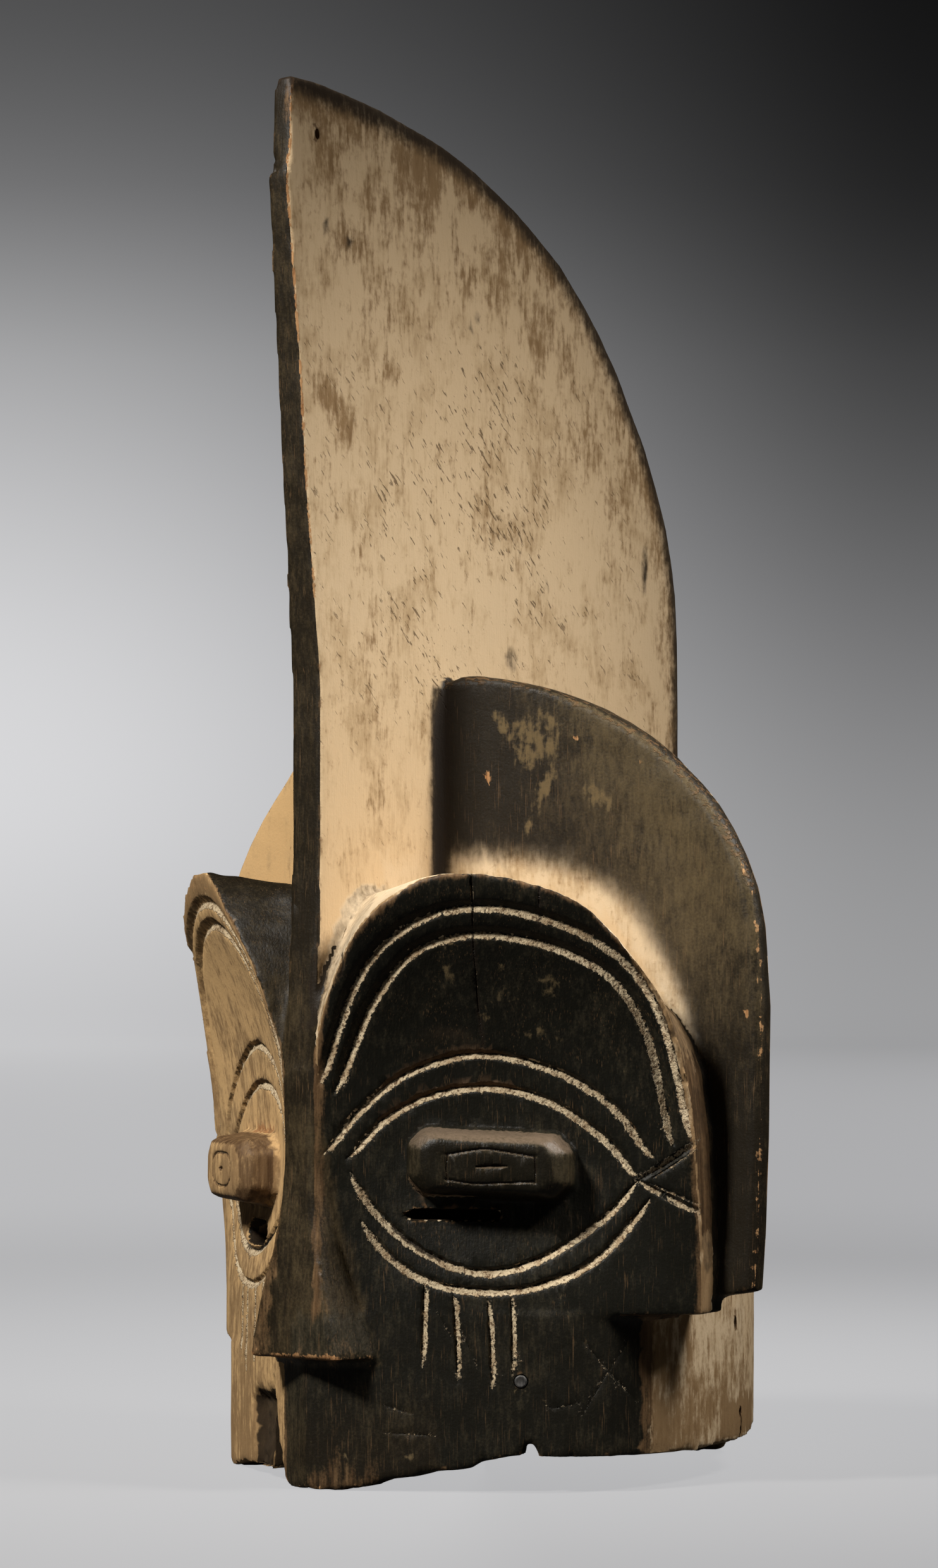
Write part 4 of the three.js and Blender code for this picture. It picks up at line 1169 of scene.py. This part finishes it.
def setCamera():
    turn = math.radians(studio["azimuth"])
    wide, tall = studio["photo"]
    data = bpy.data.cameras.new("camera")
    camera = bpy.data.objects.new("camera", data)
    bpy.context.scene.collection.objects.link(camera)
    camera.location = (studio["distance"] * math.sin(turn),
                       -studio["distance"] * math.cos(turn) + carving["centreY"] / 1000, studio["eyeHeight"])
    camera.rotation_euler = (math.radians(90), 0, turn)
    data.sensor_width = 36
    data.lens = studio["focal"] / tall * data.sensor_width
    data.shift_x = (wide / 2 - studio["aim"][0]) / tall
    data.shift_y = (studio["aim"][1] - tall / 2) / tall
    bpy.context.scene.camera = camera


def addLight(name, azimuth, elevation, distance, size, watts, colour, aim, spread=180):
    a, e = math.radians(azimuth), math.radians(elevation)
    data = bpy.data.lights.new(name, "AREA")
    data.shape = "SQUARE"
    data.size = size
    data.spread = math.radians(spread)
    data.energy = watts
    data.color = colour
    light = bpy.data.objects.new(name, data)
    bpy.context.scene.collection.objects.link(light)
    back = Vector((math.sin(a) * math.cos(e), -math.cos(a) * math.cos(e), math.sin(e)))
    light.location = Vector(aim) + back * distance
    light.rotation_euler = (-back).to_track_quat("-Z", "Y").to_euler()


def sideways(place):  # 0 on the left of the view, 1 on the right, from a direction or a place on the floor
    turn = math.radians(studio["azimuth"])
    level = put(place.tree, "VectorMath", {0: place, 1: (1, 1, 0)}, operation="MULTIPLY")
    level = put(place.tree, "VectorMath", {0: level}, operation="NORMALIZE")
    across = put(place.tree, "VectorMath", {0: level, 1: (math.cos(turn), math.sin(turn), 0)}, "Value",
                 operation="DOT_PRODUCT")
    return sharp(across, -0.13, 0.11)


def ramp(value, stops):  # greys along a value from 0 to 1
    tone = put(value.tree, "ValToRGB", {"Fac": value}, "Color")
    colours = tone.socket.node.color_ramp
    colours.interpolation = "B_SPLINE"
    for number, (at, level) in enumerate(stops):
        stop = colours.elements[number] if number < 2 else colours.elements.new(at)
        stop.position = at
        stop.color = (level, level, level * 1.02, 1)
    return tone


def seenMix(tree, away, seen, share=None):  # what bounced light meets, and what the camera sees
    share = share or put(tree, "LightPath", {}, "Is Camera Ray")
    mixed = put(tree, "MixShader", {0: share, 1: Wire(tree, away.outputs[0]), 2: seen})
    out = tree.nodes.get("Material Output") or tree.nodes["World Output"]
    tree.links.new(mixed.socket, out.inputs["Surface"])


def setFloor():
    bpy.ops.object.select_all(action="DESELECT")
    bpy.ops.mesh.primitive_circle_add(vertices=64, radius=40, fill_type="TRIFAN", location=(0, 0, 0))
    floor = bpy.context.object
    floor.name = "floor"
    material, tree, shader, place = newMaterial("floorPaint")
    shader.inputs["Roughness"].default_value = 0.95
    shader.inputs["Specular IOR Level"].default_value = 0.1
    far = put(tree, "VectorMath", {0: place}, "Value", operation="LENGTH")
    apart = put(tree, "VectorMath", {0: place, 1: studio["poolPlace"]}, "Value", operation="DISTANCE")
    across = sideways(place)
    # the floor glows with painted light: a gradient darker to the right, and a painted pool of light behind
    # the mask
    glow = blend(sharp(far, 30, 1.5), blend(across, studio["farLeft"], studio["farRight"]),
                 blend(across, studio["midLeft"], studio["midRight"]))
    glow = blend(sharp(apart, 1.6, 0.0), glow, studio["pool"])
    seen = put(tree, "LightPath", {}, "Is Camera Ray")
    paintTone = blend(seen, studio["floorBounce"], studio["floorTone"])
    tree.links.new(paintTone.socket, shader.inputs["Base Color"])
    light = put(tree, "Emission", {"Color": glow, "Strength": 1.0})
    seenMix(tree, shader, light, seen * (sharp(far, 3.5, 0.5) * -0.2 + 1.0))  # near the mask its shade shows
    floor.data.materials.append(material)


def setWorld():
    world = bpy.data.worlds.new("studio")
    bpy.context.scene.world = world
    world.use_nodes = True
    tree = world.node_tree
    fill = tree.nodes["Background"]
    fill.inputs["Color"].default_value = (*studio["fill"], 1)
    fill.inputs["Strength"].default_value = studio["fillStrength"]
    way = put(tree, "TexCoord", {}, "Generated")
    up = put(tree, "SeparateXYZ", {0: way}, 2)
    # the backdrop the camera sees is painted light: bright low on the left, falling off upwards and to the
    # right
    reach = 3.5                      # stretches the low part of the sky over the whole ramp
    tone = blend(sideways(way), *[ramp(up * reach, [(at * reach, level) for at, level in studio[name]])
                                  for name in ("backLeft", "backRight")])
    seenMix(tree, fill, put(tree, "Background", {"Color": tone, "Strength": 1.0}))


bpy.context.scene.view_settings.view_transform = "Standard"
setCamera()
setFloor()
setWorld()
addLight("keyFrontLeft", -7, 40, 2.6, 0.4, 95, (1, 0.965, 0.91), (0, 0, 0.3))
addLight("sideRight", 114, 44, 1.2, 0.3, 1.6, (1, 0.965, 0.92), (0, -0.15, 0.19), 50)
print("studio set")
